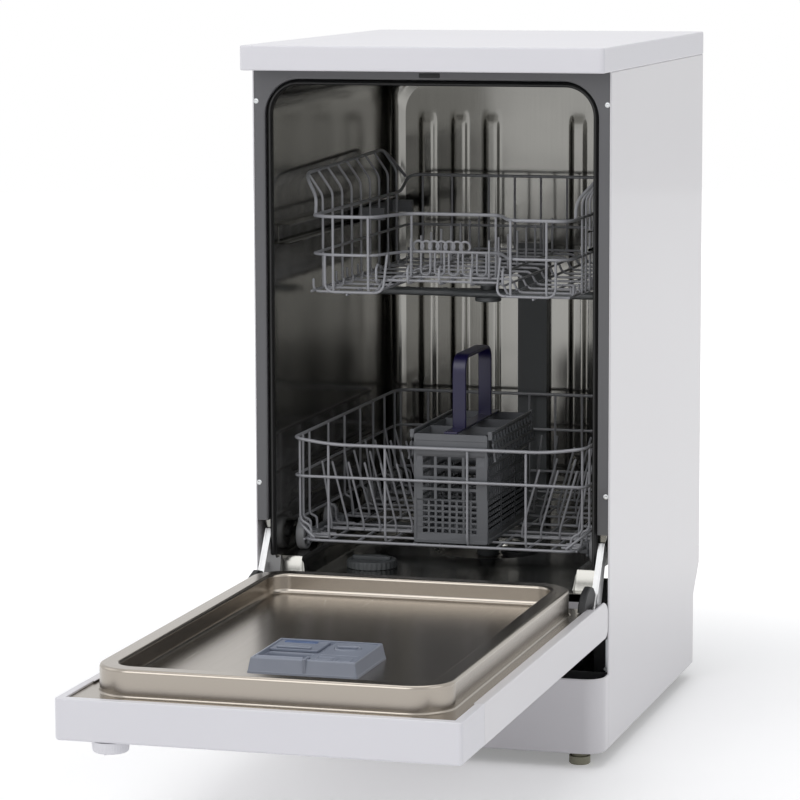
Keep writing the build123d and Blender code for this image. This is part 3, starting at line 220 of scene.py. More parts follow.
def piece(name, shape, material, body, nodes=(), wall=0.0, crease=35.0):
    """Makes an object of points in millimetres and faces. It rides on a body and stands for CAD nodes.
    wall gives a sheet its thickness. Edges sharper than crease degrees stay sharp, and all do at 0."""
    points, faces = shape
    mesh = bpy.data.meshes.new(name)
    mesh.from_pydata((points * mm).tolist(), [], faces)
    work = bmesh.new()
    work.from_mesh(mesh)
    bmesh.ops.remove_doubles(work, verts=work.verts, dist=weld_distance * mm)
    bmesh.ops.recalc_face_normals(work, faces=work.faces)
    work.to_mesh(mesh)
    work.free()
    mesh.materials.append(material)
    mesh.polygons.foreach_set("use_smooth", np.full(len(mesh.polygons), crease > 0))
    mesh.set_sharp_from_angle(angle=np.radians(crease))
    thing = bpy.data.objects.new(name, mesh)
    scene.collection.objects.link(thing)
    if wall:
        sheet = thing.modifiers.new("wall", "SOLIDIFY")
        sheet.thickness = wall * mm
        sheet.offset = 0.0
    if crease:
        shade = thing.modifiers.new("shade", "WEIGHTED_NORMAL")
        shade.keep_sharp = True
    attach(thing, body)
    if nodes:
        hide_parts(*nodes)
    return thing


def rings(rows, steps=8):
    """Rounded rectangles, one from each row of left, right, front, back, corner radius and height:
    a quarter circle of points round each corner."""
    left, right, front, back, radius, height = np.array(rows, float).T[:, :, None, None]
    angle = (np.arange(4)[:, None] + np.linspace(0, 1, steps)) * np.pi / 2
    east = np.array([1, 0, 0, 1])[:, None]
    north = np.array([1, 1, 0, 0])[:, None]
    x = np.where(east, right - radius, left + radius) + radius * np.cos(angle)
    y = np.where(north, back - radius, front + radius) + radius * np.sin(angle)
    return np.stack([x, y, height + 0 * x], -1).reshape(len(rows), 4 * steps, 3)


def stacked(rows, steps=8, ends=(True, True)):
    """The surface through rounded rectangles one after another, closed flat at its ends."""
    points = rings(rows, steps)
    count, width = points.shape[:2]
    faces = quads(count, width, around=True)
    if ends[0]:
        faces.append(list(range(width))[::-1])
    if ends[1]:
        faces.append(list(range((count - 1) * width, count * width)))
    return points.reshape(-1, 3), faces


def drawn_in(row, steps):
    """Rows for stacked: the first row's outline drawn in by each inset, at each height."""
    left, right, front, back, radius = row
    return [(left + inset, right - inset, front + inset, back - inset,
             max(radius - inset, least_corner), height) for inset, height in steps]


def rounding(low, high, radius, steps=5):
    """Insets and heights of a slab's side, with a quarter circle of that radius at its top and bottom."""
    turn = np.linspace(0, np.pi / 2, steps)
    inset = radius * (1 - np.cos(turn))
    lift = radius * np.sin(turn)
    below = list(zip(inset[::-1], low + radius - lift[::-1]))
    above = list(zip(inset, high - radius + lift))
    return below + above


laminate = finish("white_laminate", "E4E3E8", "E9E8ED", 0.34, 180.0, 0.9, 0.006, IOR=1.5)
worktop_outline = (-worktop_half, worktop_half, worktop_front, worktop_back, worktop_corner)
piece("worktop_slab", stacked(drawn_in(worktop_outline, rounding(worktop_low, worktop_high, worktop_edge))),
      laminate, "cabinet", ["worktop"])

# Cabinet panels
# Side panels and kick plate are folded steel sheet with a white baked enamel, slightly wavy like
# orange peel. The back cover is bare galvanised sheet, the base under them is moulded.
enamel = finish("white_enamel", "DCDADD", "E2E0E3", 0.3, 260.0, 1.6, 0.012, IOR=1.5,
                **{"Coat Weight": 0.25})
side_half = 224.0
side_inner = 222.0
cabinet_back = 555.0
recess_back = 517.0
recess_low, recess_high = 112.0, 150.0
cabinet_low, cabinet_high = 18.0, 836.0
panel_round = 1.6
panel_fold, fold_inset, fold_thickness = 10.0, 0.4, 2.0
front_fold_start, front_fold_low = 1.8, 286.0
kick_front, kick_end, kick_corner = -38.0, -0.5, 24.0
kick_low, kick_high = 18.0, 110.0
kick_sheet = 2.0


def dress(nodes, material):
    """Gives CAD nodes a finish."""
    for node in nodes:
        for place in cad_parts[node].material_slots:
            place.material = material


def side_sheet(side):
    """The panel's outline in Y and Z, carried over a small quarter circle at its edge, and the
    folds at its front and back edges."""
    outline = np.array([
        (0.0, cabinet_low), (recess_back, cabinet_low), (recess_back, recess_low),
        (cabinet_back, recess_high), (cabinet_back, cabinet_high), (0.0, cabinet_high),
    ])
    before = np.roll(outline, 1, 0) - outline
    after = np.roll(outline, -1, 0) - outline
    before /= np.linalg.norm(before, axis=1)[:, None]
    after /= np.linalg.norm(after, axis=1)[:, None]
    cross = after[:, 0] * before[:, 1] - after[:, 1] * before[:, 0]
    inward = (before + after) / cross[:, None]
    turn = np.linspace(0, np.pi / 2, 5)
    inset = np.concatenate([[0.0], panel_round * (1 - np.cos(turn))])
    x = np.concatenate([[side_inner], side_half - panel_round + panel_round * np.sin(turn)])
    ring = outline[None] + inward[None] * inset[:, None, None]
    points = np.concatenate([np.broadcast_to(x[:, None, None], ring.shape[:2] + (1,)), ring], -1)
    count = len(outline)
    faces = quads(len(x), count, around=True)
    faces.append(list(range(count)))
    faces.append(list(range((len(x) - 1) * count, len(x) * count)))
    sheet = points.reshape(-1, 3), faces
    folds = []
    rear_fold_start = cabinet_back - 2 * fold_thickness
    for start, low in ((front_fold_start, front_fold_low), (rear_fold_start, recess_high)):
        outline = (side_half - panel_fold, side_half - fold_inset, start, start + fold_thickness,
                   fold_inset)
        folds.append(stacked(drawn_in(outline, [(0, low), (0, cabinet_high)]), steps=3))
    whole, faces = joined([sheet, *folds])
    return whole * (side, 1, 1), faces


for side, name in ((1, "right"), (-1, "left")):
    piece(f"side_sheet_{name}", side_sheet(side), enamel, "cabinet", [f"side_panel_{name}"])


def kick_plate():
    """A bent sheet: the plan runs forward from one side panel, round a large corner, across and back,
    and its upper and lower edges are rolled in by a small quarter circle."""
    turn = np.linspace(0, np.pi / 2, 12)
    centre_x, centre_y = side_half - kick_corner, kick_front + kick_corner
    corner = np.column_stack([centre_x + kick_corner * np.cos(turn), centre_y - kick_corner * np.sin(turn)])
    right = np.vstack([[(side_half, kick_end)], corner])
    middle = np.vstack([[(centre_x, kick_end)], np.tile([centre_x, centre_y], (len(turn), 1))])
    plan = np.vstack([right, right[::-1] * (-1, 1)])
    centre = np.vstack([middle, middle[::-1] * (-1, 1)])
    inward = (centre - plan) / kick_corner
    rolled = np.array(rounding(kick_low, kick_high, kick_sheet))
    inset = np.concatenate([[kick_sheet], rolled[:, 0], [kick_sheet]])
    height = np.concatenate([[kick_low], rolled[:, 1], [kick_high]])
    outer = plan[None] + inward[None] * inset[:, None, None]
    points = np.concatenate([outer, np.broadcast_to(height[:, None, None], outer.shape[:2] + (1,))], -1)
    rows, columns = len(inset), len(plan)
    faces = quads(rows, columns, along=True)
    faces.append([row * columns for row in range(rows)])
    faces.append([row * columns + columns - 1 for row in range(rows)])
    return points.reshape(-1, 3), faces


piece("kick_plate", kick_plate(), enamel, "cabinet", ["plinth"])

moulded_black = finish("black_polypropylene", "141517", "1B1C1E", 0.55, 40.0, 0.7, 0.02, IOR=1.49)
foot_plastic = finish("beige_polyamide", "9C9984", "ABA892", 0.5, 20.0, 0.6, 0.02, IOR=1.53)
screw_zinc = finish("zinc_plated_screw", "B9BCBE", "CFD1D2", 0.3, 6.0, 0.5, 0.004, Metallic=1.0)
dress(["base_tray", "cord_gland"], moulded_black)
dress(["levelling_feet"], foot_plastic)

# Panel screws
# Zinc-plated pan-head screws with a recess for the driver. The flat ones in front hold the panels to
# the frame, the ones behind hold the back cover to the panels.
screw_radius, screw_height, flat_screw_height = 3.2, 1.6, 0.6
recess_radius, recess_foot = 1.5, 1.1
front_screw_x, front_screw_levels = 219.0, (327.0, 797.0)
back_screw_x, back_screw_levels = 214.0, (250.0, 520.0, 790.0)
front_screws = [(side * front_screw_x, 0.0, z) for side in (-1, 1) for z in front_screw_levels]
back_screws = [(side * back_screw_x, cabinet_back, z) for side in (-1, 1) for z in back_screw_levels]


def turned(profile, steps=24):
    """A profile of radius and height spun about the Z axis, closed where the radius is zero."""
    radius, height = np.array(profile, float).T
    angle = np.linspace(0, 2 * np.pi, steps, endpoint=False)
    points = np.stack([radius[:, None] * np.cos(angle), radius[:, None] * np.sin(angle),
                       height[:, None] + 0 * angle], -1)
    return points.reshape(-1, 3), quads(len(radius), steps, around=True)


def laid(shape, spot, axis):
    """Turns a shape built along Z so that it points along X, Y or Z, or against it, and moves it."""
    points, faces = shape
    swaps = {"x": (2, 1, 0), "y": (0, 2, 1), "z": (0, 1, 2)}
    sign = -1.0 if axis.startswith("-") else 1.0
    points = points * (1, 1, sign)
    return points[:, swaps[axis[-1]]] + np.array(spot), faces


dome = np.linspace(0, np.pi / 2, 6)
heads = []
for spots, height, axis in ((front_screws, flat_screw_height, "-y"), (back_screws, screw_height, "y")):
    head = [(0.0, 0.0), (screw_radius, 0.0), (screw_radius, height * 0.3)]
    head += list(zip(screw_radius * (0.55 + 0.45 * np.cos(dome)), height * (0.3 + 0.7 * np.sin(dome))))
    head += [(recess_radius, height), (recess_foot, height * 0.5), (0.0, height * 0.4)]
    heads += [laid(turned(head), spot, axis) for spot in spots]
piece("panel_screws", joined(heads), screw_zinc, "cabinet", ["screws"])

# Front frame and door seal
# The frame is folded steel with a satin grey paint. Its edge is rolled back into the opening, where
# the bright bend shows. A hollow black rubber seal is pressed in behind the bend.
frame_outer, frame_top, frame_low, frame_corner = 221.5, 835.5, 280.0, 0.5
opening_half, opening_top, opening_corner = 208.0, 824.0, 44.0
frame_sheet, frame_lip, frame_bend = 1.5, 16.0, 2.6
seal_half_width, seal_lobe, seal_shift = 3.9, 0.16, 0.2
seal_front, seal_back, seal_low = 1.6, 15.4, 236.0
seal_corner = 38.0


def arches(rows, upright=24, corner=14, across=24):
    """Arches standing in X and Z, one from each row of half width, top, bottom, corner radius and Y:
    up the left side, a quarter circle, across the roof, a quarter circle and down the right side."""
    half, top, bottom, radius, y = np.array(rows, float).T[:, :, None]
    side = np.linspace(0, 1, upright, endpoint=False)
    turn = np.linspace(0, np.pi / 2, corner, endpoint=False)
    roof = np.linspace(-1, 1, across, endpoint=False)
    x = np.concatenate([-half + 0 * side, -half + radius - radius * np.cos(turn), roof * (half - radius),
                        half - radius + radius * np.sin(turn), half + 0 * side, half], 1)
    z = np.concatenate([bottom + side * (top - radius - bottom), top - radius + radius * np.sin(turn),
                        top + 0 * roof, top - radius + radius * np.cos(turn),
                        top - radius + side * (bottom - top + radius), bottom], 1)
    return np.stack([x, y + 0 * x, z], -1)


def arched(rows, **counts):
    """The closed band whose section runs through the arches in turn, with flat ends."""
    points = arches(rows, **counts)
    count, width = points.shape[:2]
    faces = quads(count, width, along=True)
    faces.append([row * width for row in range(count)])
    faces.append([row * width + width - 1 for row in range(count)])
    return points.reshape(-1, 3), faces


bend = np.linspace(0, np.pi / 2, 7)
frame_rows = [(frame_outer, frame_top, frame_low, frame_corner, y) for y in (frame_sheet, 0.0)]
edge_steps = list(zip(frame_bend * (1 - np.sin(bend)), frame_bend * (1 - np.cos(bend))))
edge_steps += [(0.0, frame_lip), (frame_sheet, frame_lip), (frame_sheet, frame_bend + frame_sheet),
               (frame_bend + 1, frame_sheet)]
for grow, y in edge_steps:
    frame_rows.append((opening_half + grow, opening_top + grow, frame_low, opening_corner + grow, y))
frame_paint = finish("grey_enamel", "525255", "5B5B5E", 0.33, 120.0, 1.4, 0.01, IOR=1.5,
                     **{"Coat Weight": 0.35})
piece("front_frame_sheet", arched(frame_rows), frame_paint, "cabinet", ["front_frame"])

# Painted shade: a thin black plate, barely proud of the frame above the opening, stands for the dark slot
# of the latch.
latch_slot_shade = (-13.0, 13.0, 826.6, 832.4, 1.2)
latch_rows = drawn_in(latch_slot_shade, [(0, 0.4), (0, -0.5), (1.0, -0.9)])
piece("latch_slot_shade", laid(stacked(latch_rows, steps=4), (0, 0, 0), "y"), moulded_black,
      "cabinet")

around = np.linspace(0, 2 * np.pi, 16, endpoint=False)
seal_middle, seal_depth = (seal_front + seal_back) / 2, (seal_back - seal_front) / 2
squeeze = (1.0 + seal_lobe * np.cos(3 * around)) / (1.0 + seal_lobe)
seal_rows = [(opening_half - seal_half_width + shift, opening_top - seal_half_width + shift, seal_low,
              seal_corner + shift, y)
             for shift, y in zip(seal_half_width * squeeze * np.cos(around) - seal_shift,
                                 seal_middle + seal_depth * squeeze * np.sin(around))]
rubber = finish("black_epdm_rubber", "0D0D0E", "151515", 0.5, 60.0, 0.8, 0.03, IOR=1.52)
piece("door_seal", arched(seal_rows), rubber, "cabinet", ["tub_gasket"])

# Tub
# Bright annealed stainless sheet, pressed and welded. Its walls mirror the dark inside of the tub
# and ripple a little, so that the reflections break into upright streaks. Pressed ribs stiffen them.
tub_half, tub_top, tub_corner = 203.0, 818.0, 40.0
tub_start, tub_back = 16.5, 530.0
flange_half, flange_top, flange_low = 220.5, 832.0, 285.0
tub_low, tub_ledge = 205.0, 230.0
tub_wall = 0.9
back_bend = 22.0
side_ribs = ((268.0, 9.0), (296.0, 9.0), (324.0, 9.0))
side_rib_depth, side_rib_start, side_rib_end = 2.2, 70.0, 480.0
roof_rib_places, roof_rib_depth = (55.0, 110.0), 2.0
roof_rib_inner, roof_rib_outer = 6.0, 14.0
rib_runout = 14.0
back_rib_places = (-150.0, -105.0, -60.0, 60.0, 105.0, 150.0)
back_rib_width, back_rib_depth = 13.0, 2.8
back_rib_low, back_rib_high, back_rib_runout = 275.0, 758.0, 18.0


def smooth(value, low, high):
    """0 below low, 1 above high and a smooth step between them."""
    share = np.clip((value - low) / (high - low), 0, 1)
    return share * share * (3 - 2 * share)


def steel(name, code, roughness, ripple, ripple_depth, brush):
    """A metal sheet: ripples of that size and depth in millimetres bend its reflections, and fine
    lines, brush of them in a metre along each axis, make it now duller and now brighter."""
    material, tree, output = blank(name)
    spot = add(tree, "ShaderNodeTexCoord").outputs["Object"]
    ripples = add(tree, "ShaderNodeTexNoise", {"Scale": 1000 / ripple, "Detail": 1.0}, {"Vector": spot})
    wave = add(tree, "ShaderNodeBump", {"Strength": 1.0, "Distance": ripple_depth * mm},
               {"Height": ripples.outputs["Fac"]})
    drawn = add(tree, "ShaderNodeMapping", {"Scale": brush}, {"Vector": spot})
    lines = add(tree, "ShaderNodeTexNoise", {"Scale": 1.0, "Detail": 2.0}, {"Vector": drawn.outputs[0]})
    gloss = add(tree, "ShaderNodeMapRange", {"To Min": roughness * 0.75, "To Max": roughness * 1.25},
                {"Value": lines.outputs["Fac"]})
    tone = linear(code)
    shade = tuple(np.array(tone) * (0.9, 0.9, 0.9, 1))
    colour = add(tree, "ShaderNodeMix", {"data_type": "RGBA", 6: shade, 7: tone}, {0: lines.outputs["Fac"]})
    body = add(tree, "ShaderNodeBsdfPrincipled", {"Metallic": 1.0},
               {"Base Color": colour.outputs[2], "Roughness": gloss.outputs[0],
                "Normal": wave.outputs["Normal"]})
    tree.links.new(body.outputs[0], output.inputs["Surface"])
    return material


tub_steel = steel("bright_stainless_sheet", "93928E", 0.15, 70.0, 0.5, (900.0, 900.0, 12.0))


def tub_walls():
    """Arches from front to back, the first a flat flange and the last drawn in by a quarter circle,
    with smooth ribs pushed in at the sides and the roof."""
    straight = np.linspace(tub_start, tub_back - back_bend, 56, endpoint=False)
    turn = np.linspace(0, np.pi / 2, 7)
    depth = np.concatenate([straight, tub_back - back_bend + back_bend * np.sin(turn)])
    inset = np.concatenate([0 * straight, back_bend * (1 - np.cos(turn))])
    rows = [(flange_half, flange_top, flange_low, frame_corner, tub_start)]
    rows += [(tub_half - shift, tub_top - shift, tub_ledge, tub_corner, y)
             for shift, y in zip(inset, depth)]
    points = arches(rows, upright=150, corner=12, across=48)
    x, y, z = points[1:, :, 0], points[1:, :, 1], points[1:, :, 2]
    length = smooth(y, side_rib_start, side_rib_start + rib_runout)
    length *= 1 - smooth(y, side_rib_end - rib_runout, side_rib_end)
    ribs = sum(1 - smooth(abs(z - middle), width * 0.35, width) for middle, width in side_ribs)
    points[1:, :, 0] = x - np.sign(x) * side_rib_depth * ribs * length * (abs(x) > tub_half - 1)
    roof = sum(1 - smooth(abs(abs(x) - middle), roof_rib_inner, roof_rib_outer)
               for middle in roof_rib_places)
    points[1:, :, 2] = z - roof_rib_depth * roof * (z > tub_top - 1) * length
    return points.reshape(-1, 3), quads(*points.shape[:2])


def back_wall():
    """A grid in X and Z, pushed forward by smooth upright ribs that run out at both ends."""
    x, z = np.meshgrid(np.linspace(-tub_half - 1, tub_half + 1, 210), np.linspace(tub_low, tub_top, 120))
    ends = smooth(z, back_rib_low, back_rib_low + back_rib_runout)
    ends *= 1 - smooth(z, back_rib_high - back_rib_runout, back_rib_high)
    ribs = sum(1 - smooth(abs(x - middle), back_rib_width * 0.4, back_rib_width)
               for middle in back_rib_places)
    y = tub_back - back_rib_depth * ribs * ends
    return np.stack([x, y, z], -1).reshape(-1, 3), quads(*x.shape)


piece("tub_walls", tub_walls(), tub_steel, "cabinet", ["tub_shell"], wall=tub_wall)
piece("tub_back_wall", back_wall(), tub_steel, "cabinet", ["tub_back"], wall=tub_wall)

# Tub floor
# Drawn from the same sheet: two raised ledges for the wheels, a pan between them and the round mouth
# of the sump. A perforated stainless plate lies in the mouth, round the post of the spray arm; its holes
# are painted shade, not cut.
ledge_inner = 172.0
ledge_front = 32.0
pan_front = 10.0
sump_middle, sump_reach, sump_drop = 280.0, 70.0, 9.0
floor_bend, mouth_bend, floor_sink = 7.0, 6.0, 0.4
plate_reach, plate_hole = 66.0, 16.0


def tub_floor():
    """A grid in X and Y whose height steps up at the ledges and down into the sump's mouth."""
    x, y = np.meshgrid(np.linspace(-tub_half, tub_half, 180), np.linspace(pan_front, tub_back, 220))
    ledge = smooth(abs(x), ledge_inner - floor_bend * 0.5, ledge_inner + floor_bend * 0.5)
    ledge *= smooth(y, ledge_front - floor_bend * 0.5, ledge_front + floor_bend * 0.5)
    far = np.hypot(x, y - sump_middle)
    mouth = 1 - smooth(far, sump_reach - mouth_bend, sump_reach)
    z = tub_low - floor_sink + (tub_ledge - tub_low) * ledge - sump_drop * mouth
    return np.stack([x, y, z], -1).reshape(-1, 3), quads(*x.shape)


def holed(name, code, pitch, hole):
    """A perforated sheet with painted holes: round spots of painted shade, near black, hole millimetres
    across, on a grid pitch millimetres apart, stand for the dark sump seen through the holes.
    """
    material, tree, output = blank(name)
    spot = add(tree, "ShaderNodeTexCoord").outputs["Object"]
    cells = add(tree, "ShaderNodeTexVoronoi",
                {"Scale": 1000 / pitch, "Randomness": 0.0, "voronoi_dimensions": "2D"}, {"Vector": spot})
    shut = add(tree, "ShaderNodeMath", {"operation": "GREATER_THAN", 1: hole / pitch / 2},
               {0: cells.outputs["Distance"]})
    # Painted shade: the holes are coloured near black instead of being cut, for the dark sump below them.
    colour = add(tree, "ShaderNodeMix", {"data_type": "RGBA", 6: linear("0A0A0A"), 7: linear(code)},
                 {0: shut.outputs[0]})
    body = add(tree, "ShaderNodeBsdfPrincipled", {"Roughness": 0.3, "Metallic": 1.0},
               {"Base Color": colour.outputs[2]})
    tree.links.new(body.outputs[0], output.inputs["Surface"])
    return material


piece("tub_pan", tub_floor(), tub_steel, "cabinet", ["tub_floor"], wall=tub_wall)
filter_plate = [(0.0, 0.0), (plate_reach, 0.0), (plate_reach, 1.0), (plate_reach - 1, 1.6),
                (plate_hole, 2.6), (plate_hole, 1.0), (0.0, 1.0)]
piece("filter_plate", laid(turned(filter_plate, steps=64), (0, sump_middle, tub_low - sump_drop), "z"),
      holed("perforated_stainless", "8F8B84", 2.4, 1.3), "cabinet")

# Back cover
# Bare galvanised sheet with its faint spangle, a flat border for the screws, a field pressed in by a
# little over a millimetre and two long stiffening grooves.
cover_half, cover_rear = 221.4, 554.4
cover_low, cover_high = 150.4, 835.4
cover_sheet = 1.0
border_start, border_end = 15.0, 21.0
field_depth, groove_depth = 1.2, 2.4
groove_half, groove_runout, groove_width = 161.0, 14.0, 13.0
groove_levels = (376.0, 603.0)


def back_cover():
    """A grid in X and Z that sinks forward smoothly inside its border and in its two grooves."""
    x, z = np.meshgrid(np.linspace(-cover_half, cover_half, 120),
                       np.linspace(cover_low, cover_high, 310))
    edge = np.minimum(cover_half - abs(x), np.minimum(z - cover_low, cover_high - z))
    field = smooth(edge, border_start, border_end)
    grooves = sum(1 - smooth(abs(z - level), groove_width * 0.2, groove_width * 0.6)
                  for level in groove_levels)
    grooves *= 1 - smooth(abs(x), groove_half - groove_runout, groove_half)
    y = cover_rear - field_depth * field - groove_depth * grooves
    return np.stack([x, y, z], -1).reshape(-1, 3), quads(*x.shape)


zinc = finish("galvanised_sheet", "A7AAAD", "C2C5C7", 0.42, 14.0, 0.6, 0.003, Metallic=1.0)
piece("back_cover_sheet", back_cover(), zinc, "cabinet", ["back_panel"],
      wall=cover_sheet)

# Sump, filter, pumps and pipes
# Glass-filled polypropylene mouldings, matt and slightly mottled, with black motor housings and a
# finer, darker filter insert. The door's springs beside them are oiled steel, its hinge brackets and
# its strike bare galvanised sheet.
pipe_plastic = finish("grey_polypropylene", "55585A", "606365", 0.5, 50.0, 0.7, 0.02, IOR=1.49)
filter_plastic = finish("filter_polypropylene", "3C3D3F", "454648", 0.5, 30.0, 0.7, 0.02, IOR=1.49)
pump_plastic = finish("pump_polyamide", "191A1C", "212224", 0.5, 40.0, 0.7, 0.02, IOR=1.53)
valve_plastic = finish("white_polypropylene", "D6D6D2", "DFDFDB", 0.42, 40.0, 0.7, 0.02, IOR=1.49)
spring_steel = finish("oiled_spring_steel", "5B5B5D", "6C6C6E", 0.35, 10.0, 0.6, 0.003, Metallic=1.0)
dress(["sump", "rear_feed_pipe", "upper_spray_feed", "salt_cap", "drain_spigot"], pipe_plastic)
dress(["sump_filter"], filter_plastic)
dress(["circulation_pump", "drain_pump"], pump_plastic)
dress(["inlet_valve"], valve_plastic)
dress(["door_springs"], spring_steel)
dress(["hinge_brackets", "door_strike"], zinc)

# Salt cap
# A screw cap moulded in grey polypropylene, with a ribbed rim and a raised bar for the fingers.
salt_spot = (-110.0, 120.0, 205.3)
salt_radius, salt_ribs, salt_rib_depth = 32.0, 30, 0.45


def salt_cap():
    """Radius and height spun about the axis, the radius rippled by a cosine round the rim."""
    profile = [(0.0, 0.0), (31.0, 0.0), (salt_radius, 0.8), (salt_radius, 7.6), (31.0, 9.2), (29.0, 10.0),
               (26.0, 10.0), (25.0, 8.6), (0.0, 8.6)]
    points, faces = turned(profile, steps=salt_ribs * 6)
    angle = np.arctan2(points[:, 1], points[:, 0])
    rim = np.hypot(points[:, 0], points[:, 1]) > salt_radius - 0.5
    ripple = salt_rib_depth * (1 + np.cos(angle * salt_ribs)) * rim
    points[:, :2] *= 1 - (ripple / salt_radius)[:, None]
    bar = stacked(drawn_in((-25.5, 25.5, -4, 4, 3.5), rounding(8.0, 13.7, 1.4)), steps=5)
    return joined([(points, faces), bar])


piece("salt_screw_cap", laid(salt_cap(), salt_spot, "z"), pipe_plastic, "salt_cap",
      ["salt_cap"])

# Spray arms
# Two-shell polypropylene arms, welded along the rim: a flat blade that swells at the hub, with a
# row of small jets on top. The upper one hangs from its hub under the basket.
arm_y = 280.0
lower_arm = {"half": 164.5, "low": 222.3, "high": 233.8}
upper_arm = {"half": 149.5, "low": 534.2, "high": 543.8}
blade_half, hub_half = 13.0, 23.0
swell_start, swell_end = 14.0, 60.0
jet_inset, jet_shift, jet_sink = 10.0, 5.0, 0.3
hub_overlap, hub_drop = 1.2, 5.6
hub_profile = [(0.0, 0.0), (16.0, 0.0), (17.0, 0.8), (17.0, 5.4), (15.0, 6.6), (0.0, 6.6)]
jet_places = (-0.93, -0.78, -0.6, -0.42, 0.42, 0.6, 0.78, 0.93)


def blade(half, low, high):
    """A long rounded form: along X its half width swells at the hub and closes in a half circle at
    the ends, across it is a flattened oval."""
    share = np.linspace(-1, 1, 121)
    x = half * np.sin(share * np.pi / 2)
    end = np.sqrt(np.clip(1 - (np.maximum(abs(x) - (half - blade_half), 0) / blade_half) ** 2, 0, 1))
    width = (blade_half + (hub_half - blade_half) * (1 - smooth(abs(x), swell_start, swell_end))) * end
    angle = np.linspace(0, 2 * np.pi, 28, endpoint=False)
    across = np.sign(np.cos(angle)) * abs(np.cos(angle)) ** 0.6
    upward = np.sign(np.sin(angle)) * abs(np.sin(angle)) ** 0.75
    thick = (high - low) / 2 * np.minimum(1.0, 0.35 + 0.65 * end)
    y = arm_y + width[:, None] * across
    z = (low + high) / 2 + thick[:, None] * upward
    points = np.stack([x[:, None] + 0 * y, y, z], -1)
    return points.reshape(-1, 3), quads(len(x), len(angle), around=True)


def jets(half, high):
    """Small oval nozzles with a dark slot, in a row along the arm, in turn to each side."""
    nozzle = [(0.0, -1.0), (3.4, -1.0), (3.0, 0.5), (1.6, 0.7), (1.1, -0.4), (0.0, -0.5)]
    parts = []
    for number, place in enumerate(jet_places):
        shift = jet_shift if number % 2 else -jet_shift
        spot = (place * (half - jet_inset), arm_y + shift, high - jet_sink)
        parts.append(laid(turned(nozzle, 16), spot, "z"))
    return joined(parts)


arm_plastic = finish("arm_polypropylene", "5E6163", "6B6E70", 0.42, 40.0, 0.7, 0.02, IOR=1.49)
for name, arm, hub_low in (("lower_spray_arm", lower_arm, lower_arm["high"] - hub_overlap),
                           ("upper_spray_arm", upper_arm, upper_arm["low"] - hub_drop)):
    hub = laid(turned(hub_profile, 40), (0, arm_y, hub_low), "z")
    shape = joined([blade(**arm), jets(arm["half"], arm["high"]), hub])
    piece(f"{name}_shells", shape, arm_plastic, name, [name])

# Control panel
# A satin white moulding across the free end of the door, with softly rounded edges, a hollow behind
# them for the electronics, and on the outer face a deep pocket for the fingers.
door_half = 223.5
door_front, panel_back = -683.0, -592.3
door_outer, door_inner = 156.0, 202.0
panel_rim, panel_wall, panel_ledge = 10.0, 2.5, 2.2
panel_corner = 4.5
panel_edge, panel_lip = 3.6, 1.4
pocket = (-65.0, 65.0, -634.0, -600.0, 10.0)
pocket_floor = 181.8


def bent_round(half, front, back, corner, section, steps=10):
    """A band bent round the front of a box: from the right side's back end forward, round a quarter
    circle, across, and back again. Its closed section is rows of inset from the outline and height."""
    inset, height = np.array(section, float).T[:, :, None]
    turn = np.linspace(0, np.pi / 2, steps)
    reach, radius = np.maximum(corner, inset), np.maximum(corner - inset, 0)
    x = half - reach + radius * np.cos(turn)
    y = front + reach - radius * np.sin(turn)
    end = back + 0 * inset
    x = np.concatenate([half - inset, x, -x[:, ::-1], inset - half], 1)
    y = np.concatenate([end, y, y[:, ::-1], end], 1)
    points = np.stack([x, y, height + 0 * x], -1)
    rows, columns = x.shape
    faces = quads(rows, columns, along=True)
    faces += [[row * columns + column for row in range(rows)] for column in (0, columns - 1)]
    return points.reshape(-1, 3), faces


turn = np.linspace(0, np.pi / 2, 6)
panel_section = [(panel_rim, door_inner - panel_ledge), (panel_rim, door_inner - 0.4),
                 (panel_rim - 0.4, door_inner)]
panel_section += list(zip(panel_lip * (1 - np.sin(turn)), door_inner - panel_lip * (1 - np.cos(turn))))
panel_section += list(zip(panel_edge * (1 - np.cos(turn)), door_outer + panel_edge * (1 - np.sin(turn))))
panel_section += [(panel_edge, door_outer + panel_wall), (panel_wall, door_outer + panel_edge + 1),
                  (panel_wall, door_inner - panel_ledge)]
face_inset = panel_edge - 0.1
face = (face_inset - door_half, door_half - face_inset, door_front + face_inset, panel_back, 0.6)
panel_face = drawn_in(pocket, [(2.5, pocket_floor), (0.6, pocket_floor - 0.6), (0.0, pocket_floor - 2.5),
                               (0.0, door_outer + 1.2), (-0.35, door_outer + 0.35), (-1.2, door_outer)])
panel_face += [(*face, door_outer), (*face, door_outer + 1.5)]
white_abs = finish("white_abs", "DFDEE3", "E5E4E9", 0.32, 200.0, 1.1, 0.008, IOR=1.54)
panel_shape = joined([bent_round(door_half, door_front, panel_back, panel_corner, panel_section),
                      stacked(panel_face, ends=(True, False))])
piece("control_panel_moulding", panel_shape, white_abs, "door", ["control_panel"])
board_green = finish("circuit_board_lacquer", "123F22", "184A29", 0.35, 20.0, 0.8, 0.01, IOR=1.5)
dress(["control_board"], board_green)
dress(["door_catch"], moulded_black)

# Knob and power button
# The knob is moulded in the same white plastic, with a finely fluted skirt and a raised pointer.
# The button is a plain domed disc; the thin black ring round it, barely proud of the panel, is painted
# shade for the gap between button and panel.
knob_x, controls_y = -168.0, -661.5
knob_flutes, flute_depth = 40, 0.008
pointer = (-1.2, 1.2, -18.5, -5.0, 1.1)
pointer_low, pointer_high = 12.0, 13.55
button_x, button_radius = 150.0, 8.0
gap_inner, gap_outer = 8.05, 8.6


